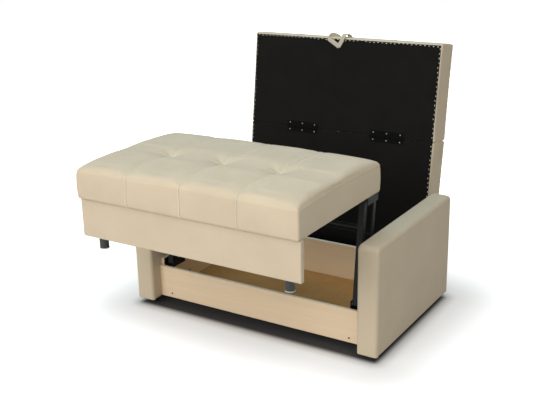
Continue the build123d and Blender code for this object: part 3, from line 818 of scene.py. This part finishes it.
def resample(line, spacing, start=0.0):
    """Points at an even spacing along a line, and the line's direction at each of them."""
    run = run_along(line)
    at = np.arange(start, run[-1], spacing)
    before, after = np.maximum(at - spacing / 2, 0), np.minimum(at + spacing / 2, run[-1])
    places, first, last = (np.stack([np.interp(where, run, line[:, k]) for k in range(3)], axis=1)
                           for where in (at, before, after))
    return places, unit(last - first)


def copies(shape, places, along, outward):
    """One shape copied to many places: its x turned along, its z turned outward."""
    points, quads = shape
    z = unit(outward - (outward * along).sum(1, keepdims=True) * along)
    y = np.cross(z, along)
    turned = (points[None, :, 0, None] * along[:, None] + points[None, :, 1, None] * y[:, None]
              + points[None, :, 2, None] * z[:, None]) + places[:, None]
    shift = (np.arange(len(places)) * len(points))[:, None, None]
    return turned.reshape(-1, 3), (quads[None] + shift).reshape(-1, quads.shape[1])


def joined(parts):
    """Several pairs of points and faces as one pair."""
    points, quads = zip(*parts)
    starts = np.cumsum([0] + [len(p) for p in points[:-1]])
    return np.concatenate(points), np.concatenate([q + s for q, s in zip(quads, starts)])


print("a small rod has", len(capsule(0.010, 0.001)[1]), "faces")

# %% [markdown]
# ## Seams
# Where two widths of cloth are sewn together, their edges make a thin raised line with
# stitches on both sides. The raised line is a small circle carried along the seam, and the
# stitches are copies of one capsule, so the light catches them as it does real thread. Both
# take the pale thread finish, so the raised line's pale colour is a painted highlight on the
# seam ridge.

# %% Seams of a pad
thread_length, thread_radius = 0.0044, 0.0007
stitch_pitch, stitch_beside = 0.0062, 0.0040  # from stitch to stitch, and from seam to stitch
welt_rise, stitch_rise = 0.0014, 0.0013       # how far both stand above the cloth
seam_welt, side_welt = 0.0019, 0.0010         # the radii of the welts
welt_step, welt_sides = 0.006, 8              # from ring to ring, and points in a ring


def outward_of(line, along, side, centre):
    """The way out of the cloth at each point of a seam: square to the seam and to its side
    direction, and pointing away from the pad's centre."""
    outward = unit(np.cross(side, along))
    away = (line - centre) * np.array([1.0, 0.35, 1.0])
    return outward * np.sign((outward * away).sum(1, keepdims=True) + 1e-9)


def welt(line, side, centre, radius):
    """A thin raised seam: a circle of the given radius carried along the line, so each point
    is the line + radius * (cos a * outward + sin a * side)."""
    places, along = resample(line, welt_step)
    outward = outward_of(places, along, side, centre)
    a = np.arange(welt_sides) / welt_sides * 2 * np.pi
    ring = (np.cos(a)[None, :, None] * outward[:, None] + np.sin(a)[None, :, None] * side)
    points = places[:, None] + ring * radius + outward[:, None] * welt_rise
    return points.reshape(-1, 3), grid_quads(len(places), welt_sides, loop=True)


def sewn_seams(name, rows, place, body, centre):
    """A welt in each seam, and stitches on both sides of it, lifted on to the cloth."""
    shape, made = capsule(thread_length, thread_radius), []
    for line, side, radius in rows:
        side = np.array(side, float)
        made.append(welt(line, side, centre, radius))
        for shift in (-stitch_beside, stitch_beside):
            places, along = resample(line + side * shift, stitch_pitch, stitch_pitch / 2)
            outward = outward_of(places, along, side, centre)
            made.append(copies(shape, places + outward * stitch_rise, along, outward))
    points, quads = joined(made)
    # Painted highlight: the welts take the pale thread finish, lighter than the cloth they are made
    # of.
    piece = make_piece(name, place(points), [quads], thread_and_welt_highlight)
    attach(piece, body)


# %% [markdown]
# ## The seat cushion
# The CAD cushion gives the size and place. The cloth is held firmly where it is sewn, along
# the three seams, at the tufts, along the side seams and round the lower edge, less firmly
# on the walls and in the valley between the tufts, and not at all on the pillows.

# %% Make a sewn cushion
wall_rows, cells_per_pillow, row_length = 14, 34, 0.0085
hem = np.array([0.004, 0.010, 0.022])  # rows of cloth turned in under the pad


def held_cloth(flat, half_width, length, height):
    """How firmly each point of a sewn pad is held, from 0 to 1: the largest of bell curves
    round the seams, tufts, cross valley and side seams, and of fixed values on the walls."""
    x, y, drop = flat.T
    to_seam, to_cross, to_side = pad_distances(x, y, half_width, length)
    seam = np.maximum(bell(to_seam, 0.005), 0.65 * bell(to_seam, 0.022))
    tuft = bell(np.hypot(to_seam, to_cross), 0.034)
    rim = np.where(drop >= height * 0.8, 1.0, np.where(drop > 0, 0.65, 0.0))
    side_seam = 0.9 * np.where(to_side <= 0, bell(drop - side_seam_drop, 0.007), 0)
    cross = 0.45 * bell(to_cross, 0.045)
    return np.clip(np.maximum.reduce([seam, tuft, rim, side_seam, cross]), 0, 1)


def sewn_cushion(name, width, length, height, crown, tuft_depth, place, body, node, most):
    """A sewn pad with its seams: flat cloth, first shape, simulation, then its place.

    place carries points from the pad's own frame into the shared one."""
    half = width / 2
    xs = spaced(np.concatenate([[-half], seam_places(half), [half]]), cells_per_pillow)
    ys = spaced([0, tuft_share * length, length], int(length / 2 / row_length))
    drops = np.concatenate([np.linspace(0, height, wall_rows + 1)[1:], height + hem])
    flat, faces, uv, numbers = lid_and_skirt(xs, ys, drops)
    points = pad_form(flat, half, length, height, crown, tuft_depth)
    pad = make_piece(name, points, faces, upholstery, uv)
    swell(pad, held_cloth(flat, half, length, height), most)
    points = points_of(pad)
    nx, ny = len(xs), len(ys)
    rim_x, rim_y = flat[numbers[0], :2].T
    rows = []
    for x in seam_places(half):
        i = int(np.argmin(np.abs(xs - x)))
        front, back = (np.nonzero(np.isclose(rim_x, xs[i]) & at_end)[0][0]
                       for at_end in (rim_y <= 0, rim_y >= length))
        up, over, down = slice(wall_rows, 0, -1), i * ny + np.arange(ny), slice(1, wall_rows + 1)
        line = np.concatenate([numbers[up, front], over, numbers[down, back]])
        rows.append((points[line], (1, 0, 0), seam_welt))
    for start in (nx - 1, 2 * (nx - 1) + ny - 1):  # where the skirt turns on to a long side
        line = numbers[1, (start + np.arange(ny)) % numbers.shape[1]]
        rows.append((points[line], (0, 0, 1), side_welt))
    place_points(pad, place(points))
    fix_and_close(smooth_more(pad))
    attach(pad, body)
    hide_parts(node)
    sewn_seams(name + "_stitches", rows, place, body, np.array([0.0, length / 2, height * 0.45]))
    print(name, len(points), "points,", len(rows), "seams")


# %% Seat cushion
cushion_low = np.array(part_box("seat_cushion")[0])
seat_width, seat_depth = 1.220, 0.773
seat_height, seat_crown, seat_tuft = 0.141, 0.036, 0.022


def on_seat(points):
    """From the pad's own frame to the raised seat."""
    return points + np.array([0.0, cushion_low[1], cushion_low[2]])


sewn_cushion("seat_cushion_cloth", seat_width, seat_depth, seat_height, seat_crown, seat_tuft,
             on_seat, "seat", "seat_cushion", 0.006)

# %% [markdown]
# ## The back sections
# Both sections are the same kind of pad, stood on end and leaned back by 8 degrees. Their
# sewn faces look to the rear, and the lining looks to the front. They are made lying flat by
# the same function, and only a second function stands them up, so nothing is written twice.

# %% Back cushions
back_pivot_y, back_pivot_z = 0.548252, 0.262
back_lean = math.radians(8.0)
back_width, back_height, back_crown, back_tuft = 1.176, 0.157, 0.012, 0.012
lower_start, lower_length = 0.010, 0.575
upper_start, upper_length = 0.586, 0.528
lower_end, upper_end = lower_start + lower_length, upper_start + upper_length


def on_back(points):
    """From the back's own frame, y rearwards and z up along it, to the leaned back."""
    c, s = math.cos(back_lean), math.sin(back_lean)
    x, y, z = points[:, 0], points[:, 1], points[:, 2]
    return np.column_stack([x, back_pivot_y + y * c + z * s, back_pivot_z - y * s + z * c])


def stood_up(top):
    """A pad stood on end: its thickness points rearwards and its length down from top."""
    def place(points):
        stood = np.column_stack([points[:, 0], points[:, 2], top - points[:, 1]])
        return on_back(stood)
    return place


sewn_cushion("back_lower_cloth", back_width, lower_length, back_height, back_crown, back_tuft,
             stood_up(lower_end), "back_lower", "back_lower_cushion", 0.004)
sewn_cushion("back_upper_cloth", back_width, upper_length, back_height, back_crown, back_tuft,
             stood_up(upper_end), "back_upper", "back_upper_cushion", 0.004)

# %% [markdown]
# ## The arms
# An arm is a frame of boards under thin padding. Its side view has a rounded front and rear
# corner. A cube with bevels would be quicker, but here the cover is one grid round a box, so
# that its weave runs on over the edges, and its broad faces can swell a little.

# %% Arm covers
arm_front_radius, arm_rear_radius, arm_edge_radius = 0.028, 0.020, 0.014
front_stretch, rear_stretch, edge_stretch = 0.06, 0.05, 0.02  # with narrow rows of points
face_bulge, top_bulge, end_bulge = 0.0025, 0.004, 0.003
arm_hang = 0.0006  # how far the cover reaches below the boards


def lines_at(*stretches):
    """All the places in order, each of them once, to a thousandth of a millimetre."""
    return np.unique(np.round(np.concatenate(stretches), 6))


def corner_in_side_view(y, z, y_corner, z_corner, toward):
    """Rounds one upper corner of a side view: squares round the corner's centre become
    circles, so a point keeps its direction and its distance is shortened to fit."""
    dy, dz = (y - y_corner) * toward, z - z_corner
    square = np.maximum(np.maximum(dy, dz), 1e-9)
    circle = np.maximum(np.hypot(dy, dz), 1e-9)
    squeeze = np.where((dy > 0) & (dz > 0), square / circle, 1.0)
    return y_corner + (y - y_corner) * squeeze, z_corner + (z - z_corner) * squeeze


def arm_cover(side):
    """A closed, softly swollen cover from two broad sides and the band between them."""
    node = "arm_cover_" + side
    low, high = np.array(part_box(node))
    low[2] -= arm_hang
    wide, long, tall = size = high - low
    ys = lines_at(spaced([0, front_stretch, long - rear_stretch, long], 14, 0.0),
                  np.linspace(front_stretch, long - rear_stretch, 48))
    zs = lines_at(np.linspace(0, tall - front_stretch, 30),
                  np.linspace(tall - front_stretch, tall, 12))
    xs = lines_at(np.linspace(0, edge_stretch, 6),
                  np.linspace(edge_stretch, wide - edge_stretch, 8),
                  np.linspace(wide - edge_stretch, wide, 6))
    flat, faces, uv, _ = lid_and_skirt(ys, zs, xs[1:])
    n = len(ys) * len(zs)
    second = flat[:n].copy()
    second[:, 2] = wide
    flat = np.concatenate([flat, second])
    other = faces[0][:, ::-1] + len(flat) - n
    uv = np.concatenate([uv, flat[other.ravel()][:, :2]])

    y, z, across = flat.T
    r = arm_edge_radius
    new_x, new_y, new_z = rounded(np.column_stack([across, y, z]), [0, 0, -2 * r], size, r).T
    for radius, y_corner, toward in ((arm_front_radius, arm_front_radius, -1.0),
                                     (arm_rear_radius, long - arm_rear_radius, 1.0)):
        new_y, new_z = corner_in_side_view(new_y, new_z, y_corner, tall - radius, toward)
    bulge = (half_sine(y, long) * half_sine(z, tall)) ** 0.5
    across_bulge = half_sine(across, wide) ** 0.6
    new_x = new_x + which_end(across, 0, wide) * face_bulge * bulge
    new_y = new_y + which_end(y, 0, long) * end_bulge * across_bulge
    new_z = new_z + np.where(z >= tall, top_bulge * across_bulge, 0)
    points = np.column_stack([new_x, new_y, new_z]) + low
    if side == "left":
        points[:, 0] = low[0] + high[0] - points[:, 0]
    piece = make_piece(node + "_cloth", points, [*faces, other], upholstery, uv)
    rework(piece.data, join_double_points)
    smooth_more(piece)
    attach(piece, "sofa_base")
    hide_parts(node)
    print(piece.name, len(piece.data.vertices), "points")


for side in ("left", "right"):
    arm_cover(side)

# %% [markdown]
# ## The fascia
# The board under the front of the seat is covered with the same cloth over thin wadding.
# A seam a little right of the middle joins two widths of the cloth. The seam could be drawn
# as a line, but a real groove takes the light as the other seams do.

# %% Fascia cover
fascia_seam, seam_groove, fascia_swell = 0.21, 0.0012, 0.002


def fascia():
    """A thin padded board: a lid that faces forward and a skirt that runs back round it."""
    low, high = np.array(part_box("fascia_cover"))
    wide, thick, tall = high - low
    seam_x = fascia_seam - low[0]
    xs, zs = lines_at(spaced([0, seam_x, wide], 60, 0.5)), spaced([0, tall], 30, 0.6)
    flat, faces, uv, _ = lid_and_skirt(xs, zs, np.linspace(0, thick, 6)[1:])
    x, z, drop = flat.T
    p = rounded(np.column_stack([x, z, thick - drop]), [0, 0, -1], [wide, tall, thick], 0.006)
    swollen = fascia_swell * (half_sine(x, wide) * half_sine(z, tall)) ** 0.3
    p[:, 2] += np.where(drop <= 0, swollen - seam_groove * bell(x - seam_x, 0.003), 0)
    points = np.column_stack([p[:, 0] + low[0], high[1] - p[:, 2], p[:, 1] + low[2]])
    piece = make_piece("fascia_cloth", points, faces, upholstery, uv)
    fix_and_close(smooth_more(piece))
    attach(piece, "seat")
    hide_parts("fascia_cover")
    print(piece.name, len(points), "points")


fascia()

# %% [markdown]
# ## Stretched linings
# The black lining is stapled over the turned-in edge of the cover, so a narrow beige border
# shows round it. It is a flat sheet, stretched but not perfectly: it waves slightly between
# its staples. A few slow sine waves make that more surely than a simulation would.

# %% Stretched linings
rng = np.random.default_rng(7)
border, turn_radius, lining_thickness = 0.009, 0.007, 0.0006
lining_lift, wave_height, wave_fade, wave_count = 0.0012, 0.0009, 0.03, 7
lining_columns, lining_rows = 90, 60


def lining_sheet(name, node, width, start, end, place, body, joint=None):
    """A stretched sheet from start to end along the pad, both measured on the pad.

    Its height is a few slow waves that fade at the stapled edge. With joint, the place of the
    pad's end at the hinges, the last 7 mm follow the pad's rounded edge, a quarter circle."""
    xs = np.linspace(-width / 2, width / 2, lining_columns)
    ys = np.linspace(start, end, lining_rows)
    if joint is not None:
        inwards = 1 if joint < start + 0.1 else -1
        bent = joint + inwards * turn_radius * (1 - np.sin(np.linspace(0, 1.5, 8)))
        ys = np.sort(np.concatenate([ys[np.abs(ys - joint) > turn_radius], bent]))
    X, Y = grid_of(xs, ys)
    rim = np.minimum(width / 2 - np.abs(X), np.minimum(Y - ys[0], ys[-1] - Y))
    waves = np.zeros_like(X)
    for _ in range(wave_count):
        fx, fy, phase = rng.uniform(2, 11), rng.uniform(2, 11), rng.uniform(0, 6.28)
        waves += np.sin(fx * X * 2 + fy * Y * 2 + phase) / wave_count
    Z = lining_lift + wave_height * (1 - np.exp(-rim / wave_fade)) * waves
    if joint is not None:
        past = np.clip(turn_radius - np.abs(Y - joint), 0, turn_radius)
        Z = Z - turn_radius + np.sqrt(turn_radius ** 2 - past ** 2)
    points = np.column_stack([X, Y, Z])
    cells = grid_quads(lining_columns, len(ys))
    piece = make_piece(name, place(points), [cells], lining, points[cells.ravel()][:, :2])
    give_wall(piece, lining_thickness)
    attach(piece, body)
    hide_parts(node)
    print(name, "is", round(width, 3), "by", round(float(ys[-1] - ys[0]), 3), "m")


def lining_on_back(points):
    """A sheet's own frame to the front of a back section: its height points forwards."""
    return on_back(np.column_stack([points[:, 0], -points[:, 2], points[:, 1]]))


lining_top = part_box("seat_lining")[1][2]


def lining_under_seat(points):
    """A sheet's own frame to the underside of the seat: its height points down."""
    x, y, z = points.T
    return np.column_stack([x, y + cushion_low[1], lining_top - z])


back_inner, seat_inner = back_width - 2 * border, seat_width - 2 * border
lining_sheet("back_lower_lining_sheet", "back_lower_lining", back_inner, lower_start + border,
             lower_end, lining_on_back, "back_lower", joint=lower_end)
lining_sheet("back_upper_lining_sheet", "back_upper_lining", back_inner, upper_start,
             upper_end - border, lining_on_back, "back_upper",
             joint=upper_start)
lining_sheet("seat_lining_sheet", "seat_lining", seat_inner, border, seat_depth - border,
             lining_under_seat, "seat")

# %% [markdown]
# ## Staples
# Wire staples run round each lining, every 25 mm and never quite straight. They could be a
# texture, but as small round-ended rods they cast their own shadow. Their matt, almost white
# colour is a painted glint of the bright wire.

# %% Staples
staple_length, staple_radius, staple_spacing = 0.0095, 0.0016, 0.0250
staple_inset, staple_height = 0.005, 0.0019
staple_turn, staple_jitter = 0.3, 0.0018  # the spread of their turns and places


def staples(name, corners, place, body):
    """Wire staples along the rim of a lining, each turned a little at random."""
    corners = np.pad(np.array(corners, float), ((0, 0), (0, 1)))
    places, along = resample(corners, staple_spacing, staple_spacing / 2)
    angle = rng.normal(0, staple_turn, len(places))[:, None]
    side = np.cross(np.array([0, 0, 1.0]), along)
    along = along * np.cos(angle) + side * np.sin(angle)
    places = places + side * rng.normal(0, staple_jitter, (len(places), 1))
    places[:, 2] = staple_height
    up = np.tile([0, 0, 1.0], (len(places), 1))
    points, quads = copies(capsule(staple_length, staple_radius), places, along, up)
    piece = make_piece(name, place(points), [quads], staple_wire_painted_glint)
    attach(piece, body)
    print(name, len(places), "staples")


w, s = back_inner / 2 - staple_inset, seat_inner / 2 - staple_inset
low_line, high_line = lower_start + border + staple_inset, upper_end - border - staple_inset
front_line, rear_line = border + staple_inset, seat_depth - border - staple_inset
low_joint, high_joint = lower_end - 0.012, upper_start + 0.012
staples("back_lower_staples", [(-w, low_joint), (-w, low_line), (w, low_line), (w, low_joint)],
        lining_on_back, "back_lower")
staples("back_upper_staples", [(-w, high_joint), (-w, high_line), (w, high_line), (w, high_joint)],
        lining_on_back, "back_upper")
staples("seat_staples", [(-s, front_line), (s, front_line), (s, rear_line), (-s, rear_line),
                         (-s, front_line)], lining_under_seat, "seat")

# %% [markdown]
# ## The flap behind the box
# Under the back there is a slot over the outer panel of the box. A strip of the same black
# lining hangs from the back's lower edge down into the box: a dark sheet that paints the
# shade in the slot.

# %% Black flap, painted shade in the slot
flap_half, flap_sag, flap_columns, flap_lines = 0.5865, 0.0008, 80, 24
panel_low, panel_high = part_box("box_back_panel")
flap_top = on_back(np.array([[0.0, -0.0035, 0.029]]))[0]
flap_rows = np.array([(flap_top[1], flap_top[2]),  # y and z from the back down into the box
                      (panel_low[1] + 0.0085, 0.286),
                      (panel_low[1] + 0.0060, 0.275),
                      (panel_low[1] - 0.0015, panel_high[2] + 0.004),
                      (panel_low[1] - 0.0025, panel_high[2] - 0.012),
                      (panel_low[1] - 0.0025, 0.205)])
run = run_along(flap_rows)
X, S = grid_of(np.linspace(-flap_half, flap_half, flap_columns),
               np.linspace(0, run[-1], flap_lines))
sag = flap_sag * np.sin(X * 31 + 2 * np.sin(X * 9)) * np.sin(np.pi * S / run[-1])
flap_points = np.column_stack([X, np.interp(S, run, flap_rows[:, 0]) - np.abs(sag),
                               np.interp(S, run, flap_rows[:, 1])])
flap_cells = grid_quads(flap_columns, flap_lines)
flap_uv = np.column_stack([X, S])[flap_cells.ravel()]
flap = make_piece("slot_shade_flap", flap_points, [flap_cells], lining, flap_uv)
give_wall(flap, lining_thickness)
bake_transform(flap)
print("flap", round(float(run[-1]), 3), "m long")

# %% [markdown]
# ## The pull strap
# A loop of flat webbing is fixed over the top edge of the back. Each half rises over the
# edge in an arch, and the two halves meet lower down in a point, where the band is folded.
# A curve object could draw it, but its twist is hard to steer, so a grid is carried along a
# smooth path.

# %% Pull strap
strap_width, strap_thickness, strap_cells, strap_steps = 0.024, 0.0016, 10, 60


def smooth_values(values):
    """Values carried on a Catmull-Rom curve: between two of them, a cubic whose slope at
    each is half the difference of its neighbours."""
    values = np.asarray(values, float)
    n = len(values)
    t = np.linspace(0, n - 1.0001, strap_steps)
    k = t.astype(int)
    f = (t - k)[:, None]
    a, b = values[np.maximum(k - 1, 0)], values[k]
    c, d = values[np.minimum(k + 1, n - 1)], values[np.minimum(k + 2, n - 1)]
    return 0.5 * (2 * b + (c - a) * f + (2 * a - 5 * b + 4 * c - d) * f ** 2
                  + (3 * b - a - 3 * c + d) * f ** 3)


def ribbon(path, across):
    """A flat band along a smooth path: each row of the grid is a point of the path plus or
    minus half the width along its own direction. Points, faces and UV map."""
    line, side = smooth_values(path) + np.array([0, 0, upper_end]), unit(smooth_values(across))
    s = np.linspace(-0.5, 0.5, strap_cells) * strap_width
    points = line[:, None] + side[:, None] * s[None, :, None]
    run, s = grid_of(run_along(line), s)
    quads = grid_quads(strap_steps, strap_cells)
    return points.reshape(-1, 3), quads, np.column_stack([s, run])[quads.ravel()]


# The path of each half, with z from the top of the back, and the band's own direction there.
left_half = ribbon([(-0.046, 0.050, 0.0030), (-0.059, 0.037, 0.0085), (-0.076, 0.018, 0.0120),
                    (-0.090, 0.004, 0.0080), (-0.0975, -0.0050, -0.0020),
                    (-0.0900, -0.0095, -0.0130), (-0.074, -0.0065, -0.0235),
                    (-0.056, -0.0045, -0.0345), (-0.040, -0.0038, -0.0440),
                    (-0.027, -0.0038, -0.0520)],
                   [(0, -0.85, 0.5), (0, -0.55, 0.85), (0.05, -0.30, 0.95), (0.20, -0.2, 0.95),
                    (0.40, 0, 0.90), (0.46, 0, 0.88), (0.50, 0, 0.87), (0.52, 0, 0.85),
                    (0.54, 0, 0.84), (0.56, 0, 0.82)])
right_half = ribbon([(-0.031, -0.0056, -0.0530), (-0.023, -0.0064, -0.0400),
                     (-0.012, -0.0074, -0.0200), (-0.002, -0.0082, 0.0010),
                     (0.003, -0.0020, 0.0160), (0.009, 0.0130, 0.0200),
                     (0.015, 0.0300, 0.0150), (0.018, 0.0400, 0.0060), (0.018, 0.0450, 0.0014)],
                    [(0.85, 0, -0.5), (0.85, 0, -0.5), (0.88, 0, -0.45), (0.95, 0, -0.3),
                     (1, 0.2, -0.1), (1, 0.3, 0), (1, 0.3, 0), (1, 0.3, 0), (1, 0.3, 0)])
strap_points, strap_quads = joined([left_half[:2], right_half[:2]])
strap = make_piece("pull_strap_webbing", on_back(strap_points), [strap_quads], webbing,
                   np.concatenate([left_half[2], right_half[2]]))
give_wall(strap, strap_thickness)
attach(strap, "back_upper")
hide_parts("pull_strap")
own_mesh(strap)
print("strap", len(strap.data.vertices), "points")

# %% [markdown]
# ## The floor
# The floor is plain and pale away from the sofa. It shows white to the camera, but its shading
# still takes the sofa's shadow: the floor's own light is lowered a little, and a glow that only
# the camera sees lifts it back to white. The glow grows with the distance from the sofa's
# footprint and is nothing under it. That lets the shadow show, and it also paints a soft shade
# round the sofa. Under the footprint the floor's colour is nearly black as well: painted shade
# in the low gap under the box. A white floor that was simply lit that brightly would throw its
# light back on the sofa.

# %% Floor
studio_finish, tree, shader, place = finish_of("studio floor", Roughness=0.9,
                                               Specular_IOR_Level=0.1,
                                               Emission_Color=(1, 1, 1, 1))
arm_low, arm_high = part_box("arm_cover_right")
foot_inset = 0.030  # the glow starts this far inside the arms' outline
half_foot = (arm_high[0] - foot_inset, 0.5 * (arm_high[1] - arm_low[1]) - foot_inset, 1.0)
foot_centre = (0.0, 0.5 * (arm_high[1] + arm_low[1]), 0.0)


def vector_maths(operation, *vectors):
    """One Vector Math node of the floor's tree; its outputs come back."""
    return add(tree, "ShaderNodeVectorMath", dict(enumerate(vectors)), operation=operation).outputs


away = vector_maths("ABSOLUTE", vector_maths("SUBTRACT", place, foot_centre)[0])[0]
away = vector_maths("MAXIMUM", vector_maths("SUBTRACT", away, half_foot)[0], (0.0, 0.0, 0.0))[0]
distance = vector_maths("LENGTH", away)["Value"]


def grows(start, end):
    """A smooth 0 to 1 between two distances from the footprint."""
    return between(tree, distance, start, end, interpolation_type="SMOOTHSTEP")


# Painted shade as well as backdrop: the glow is weaker near the footprint and nothing under it, so
# the floor there stays darker whatever light the lamps give.
glow = maths(tree, "MULTIPLY", grows(0.0, 0.10), 0.36)
glow = maths(tree, "MULTIPLY_ADD", grows(0.05, 0.45), 0.40, glow)
glow = maths(tree, "MULTIPLY_ADD", grows(0.3, 2.0), 0.56, glow)
seen = add(tree, "ShaderNodeLightPath").outputs
shown_to = maths(tree, "MAXIMUM", seen["Is Camera Ray"], seen["Is Glossy Ray"])
tree.links.new(maths(tree, "MULTIPLY", shown_to, glow), shader.inputs["Emission Strength"])
# Painted shade: the floor's colour is nearly black under the footprint and turns pale within 45 mm
# outside it.
pale = mix_colours(tree, grows(0.0, 0.045), (0.06, 0.06, 0.062, 1), (0.6, 0.6, 0.6, 1))
tree.links.new(pale, shader.inputs["Base Color"])
half_floor = 14.0
floor_points = half_floor * np.array([[-1, -1, 0], [1, -1, 0], [1, 1, 0], [-1, 1, 0]])
floor = make_piece("studio_floor", floor_points, [np.array([[0, 1, 2, 3]])], studio_finish)
print("the footprint reaches", np.round(half_foot[:2], 3), "m from its centre")

# %% [markdown]
# ## World and lamps
# The photograph has soft light from all sides and hardly any shadow. The world gives the
# even part, and shows itself pure white to the camera. A broad lamp at the front left gives
# the shape, two soft boxes on the right and a cool one above lift the other faces, and a
# faint warm one keeps the right side from going grey. One lamp alone would leave them dark.

# %% World and lamps
world = bpy.data.worlds.new("studio")
bpy.context.scene.world = world
world.use_nodes = True
tree = world.node_tree
tree.nodes.clear()
seen = add(tree, "ShaderNodeLightPath").outputs
fill = add(tree, "ShaderNodeBackground", {"Color": (1.0, 0.95, 0.84, 1), "Strength": 0.32})
white = add(tree, "ShaderNodeBackground", {"Color": (1, 1, 1, 1), "Strength": 1.0})
choose = maths(tree, "MAXIMUM", seen["Is Camera Ray"], seen["Is Glossy Ray"])
choose = maths(tree, "MAXIMUM", choose, seen["Is Transmission Ray"])
mix = add(tree, "ShaderNodeMixShader", {0: choose, 1: fill.outputs[0], 2: white.outputs[0]})
tree.links.new(mix.outputs[0], add(tree, "ShaderNodeOutputWorld").inputs[0])


def lamp(name, place, target, size, watts, colour):
    """A square area lamp that looks from its place to a target."""
    data = bpy.data.lights.new(name, "AREA")
    data.size, data.energy, data.color = size, watts, colour
    place, target = np.array(place, float), np.array(target, float)
    back = (place - target) / np.linalg.norm(place - target)
    right = np.cross([0, 0, 1.0], back)
    right /= np.linalg.norm(right)
    stand(put_in_scene(name, data), right, np.cross(back, right), back, place)


lamp("front key", (-1.5, -6.5, 3.4), (0, 0, 0.6), 4.0, 250, (1.0, 0.965, 0.95))
lamp("front right soft box", (1.6, -4.2, 4.0), (0, 0, 0.5), 3.0, 50, (1.0, 0.97, 0.95))
lamp("high right soft box", (2.2, -1.8, 4.2), (0.2, 0, 0.5), 2.0, 40, (0.88, 0.97, 1.0))
lamp("high soft box", (-0.8, 0.8, 4.2), (0, 0, 0.4), 3.0, 40, (0.34, 0.76, 1.0))
lamp("right fill", (5.0, -1.0, 2.2), (0, 0, 0.5), 3.0, 7, (1.0, 0.72, 0.40))
bpy.context.scene.view_settings.view_transform = "Standard"
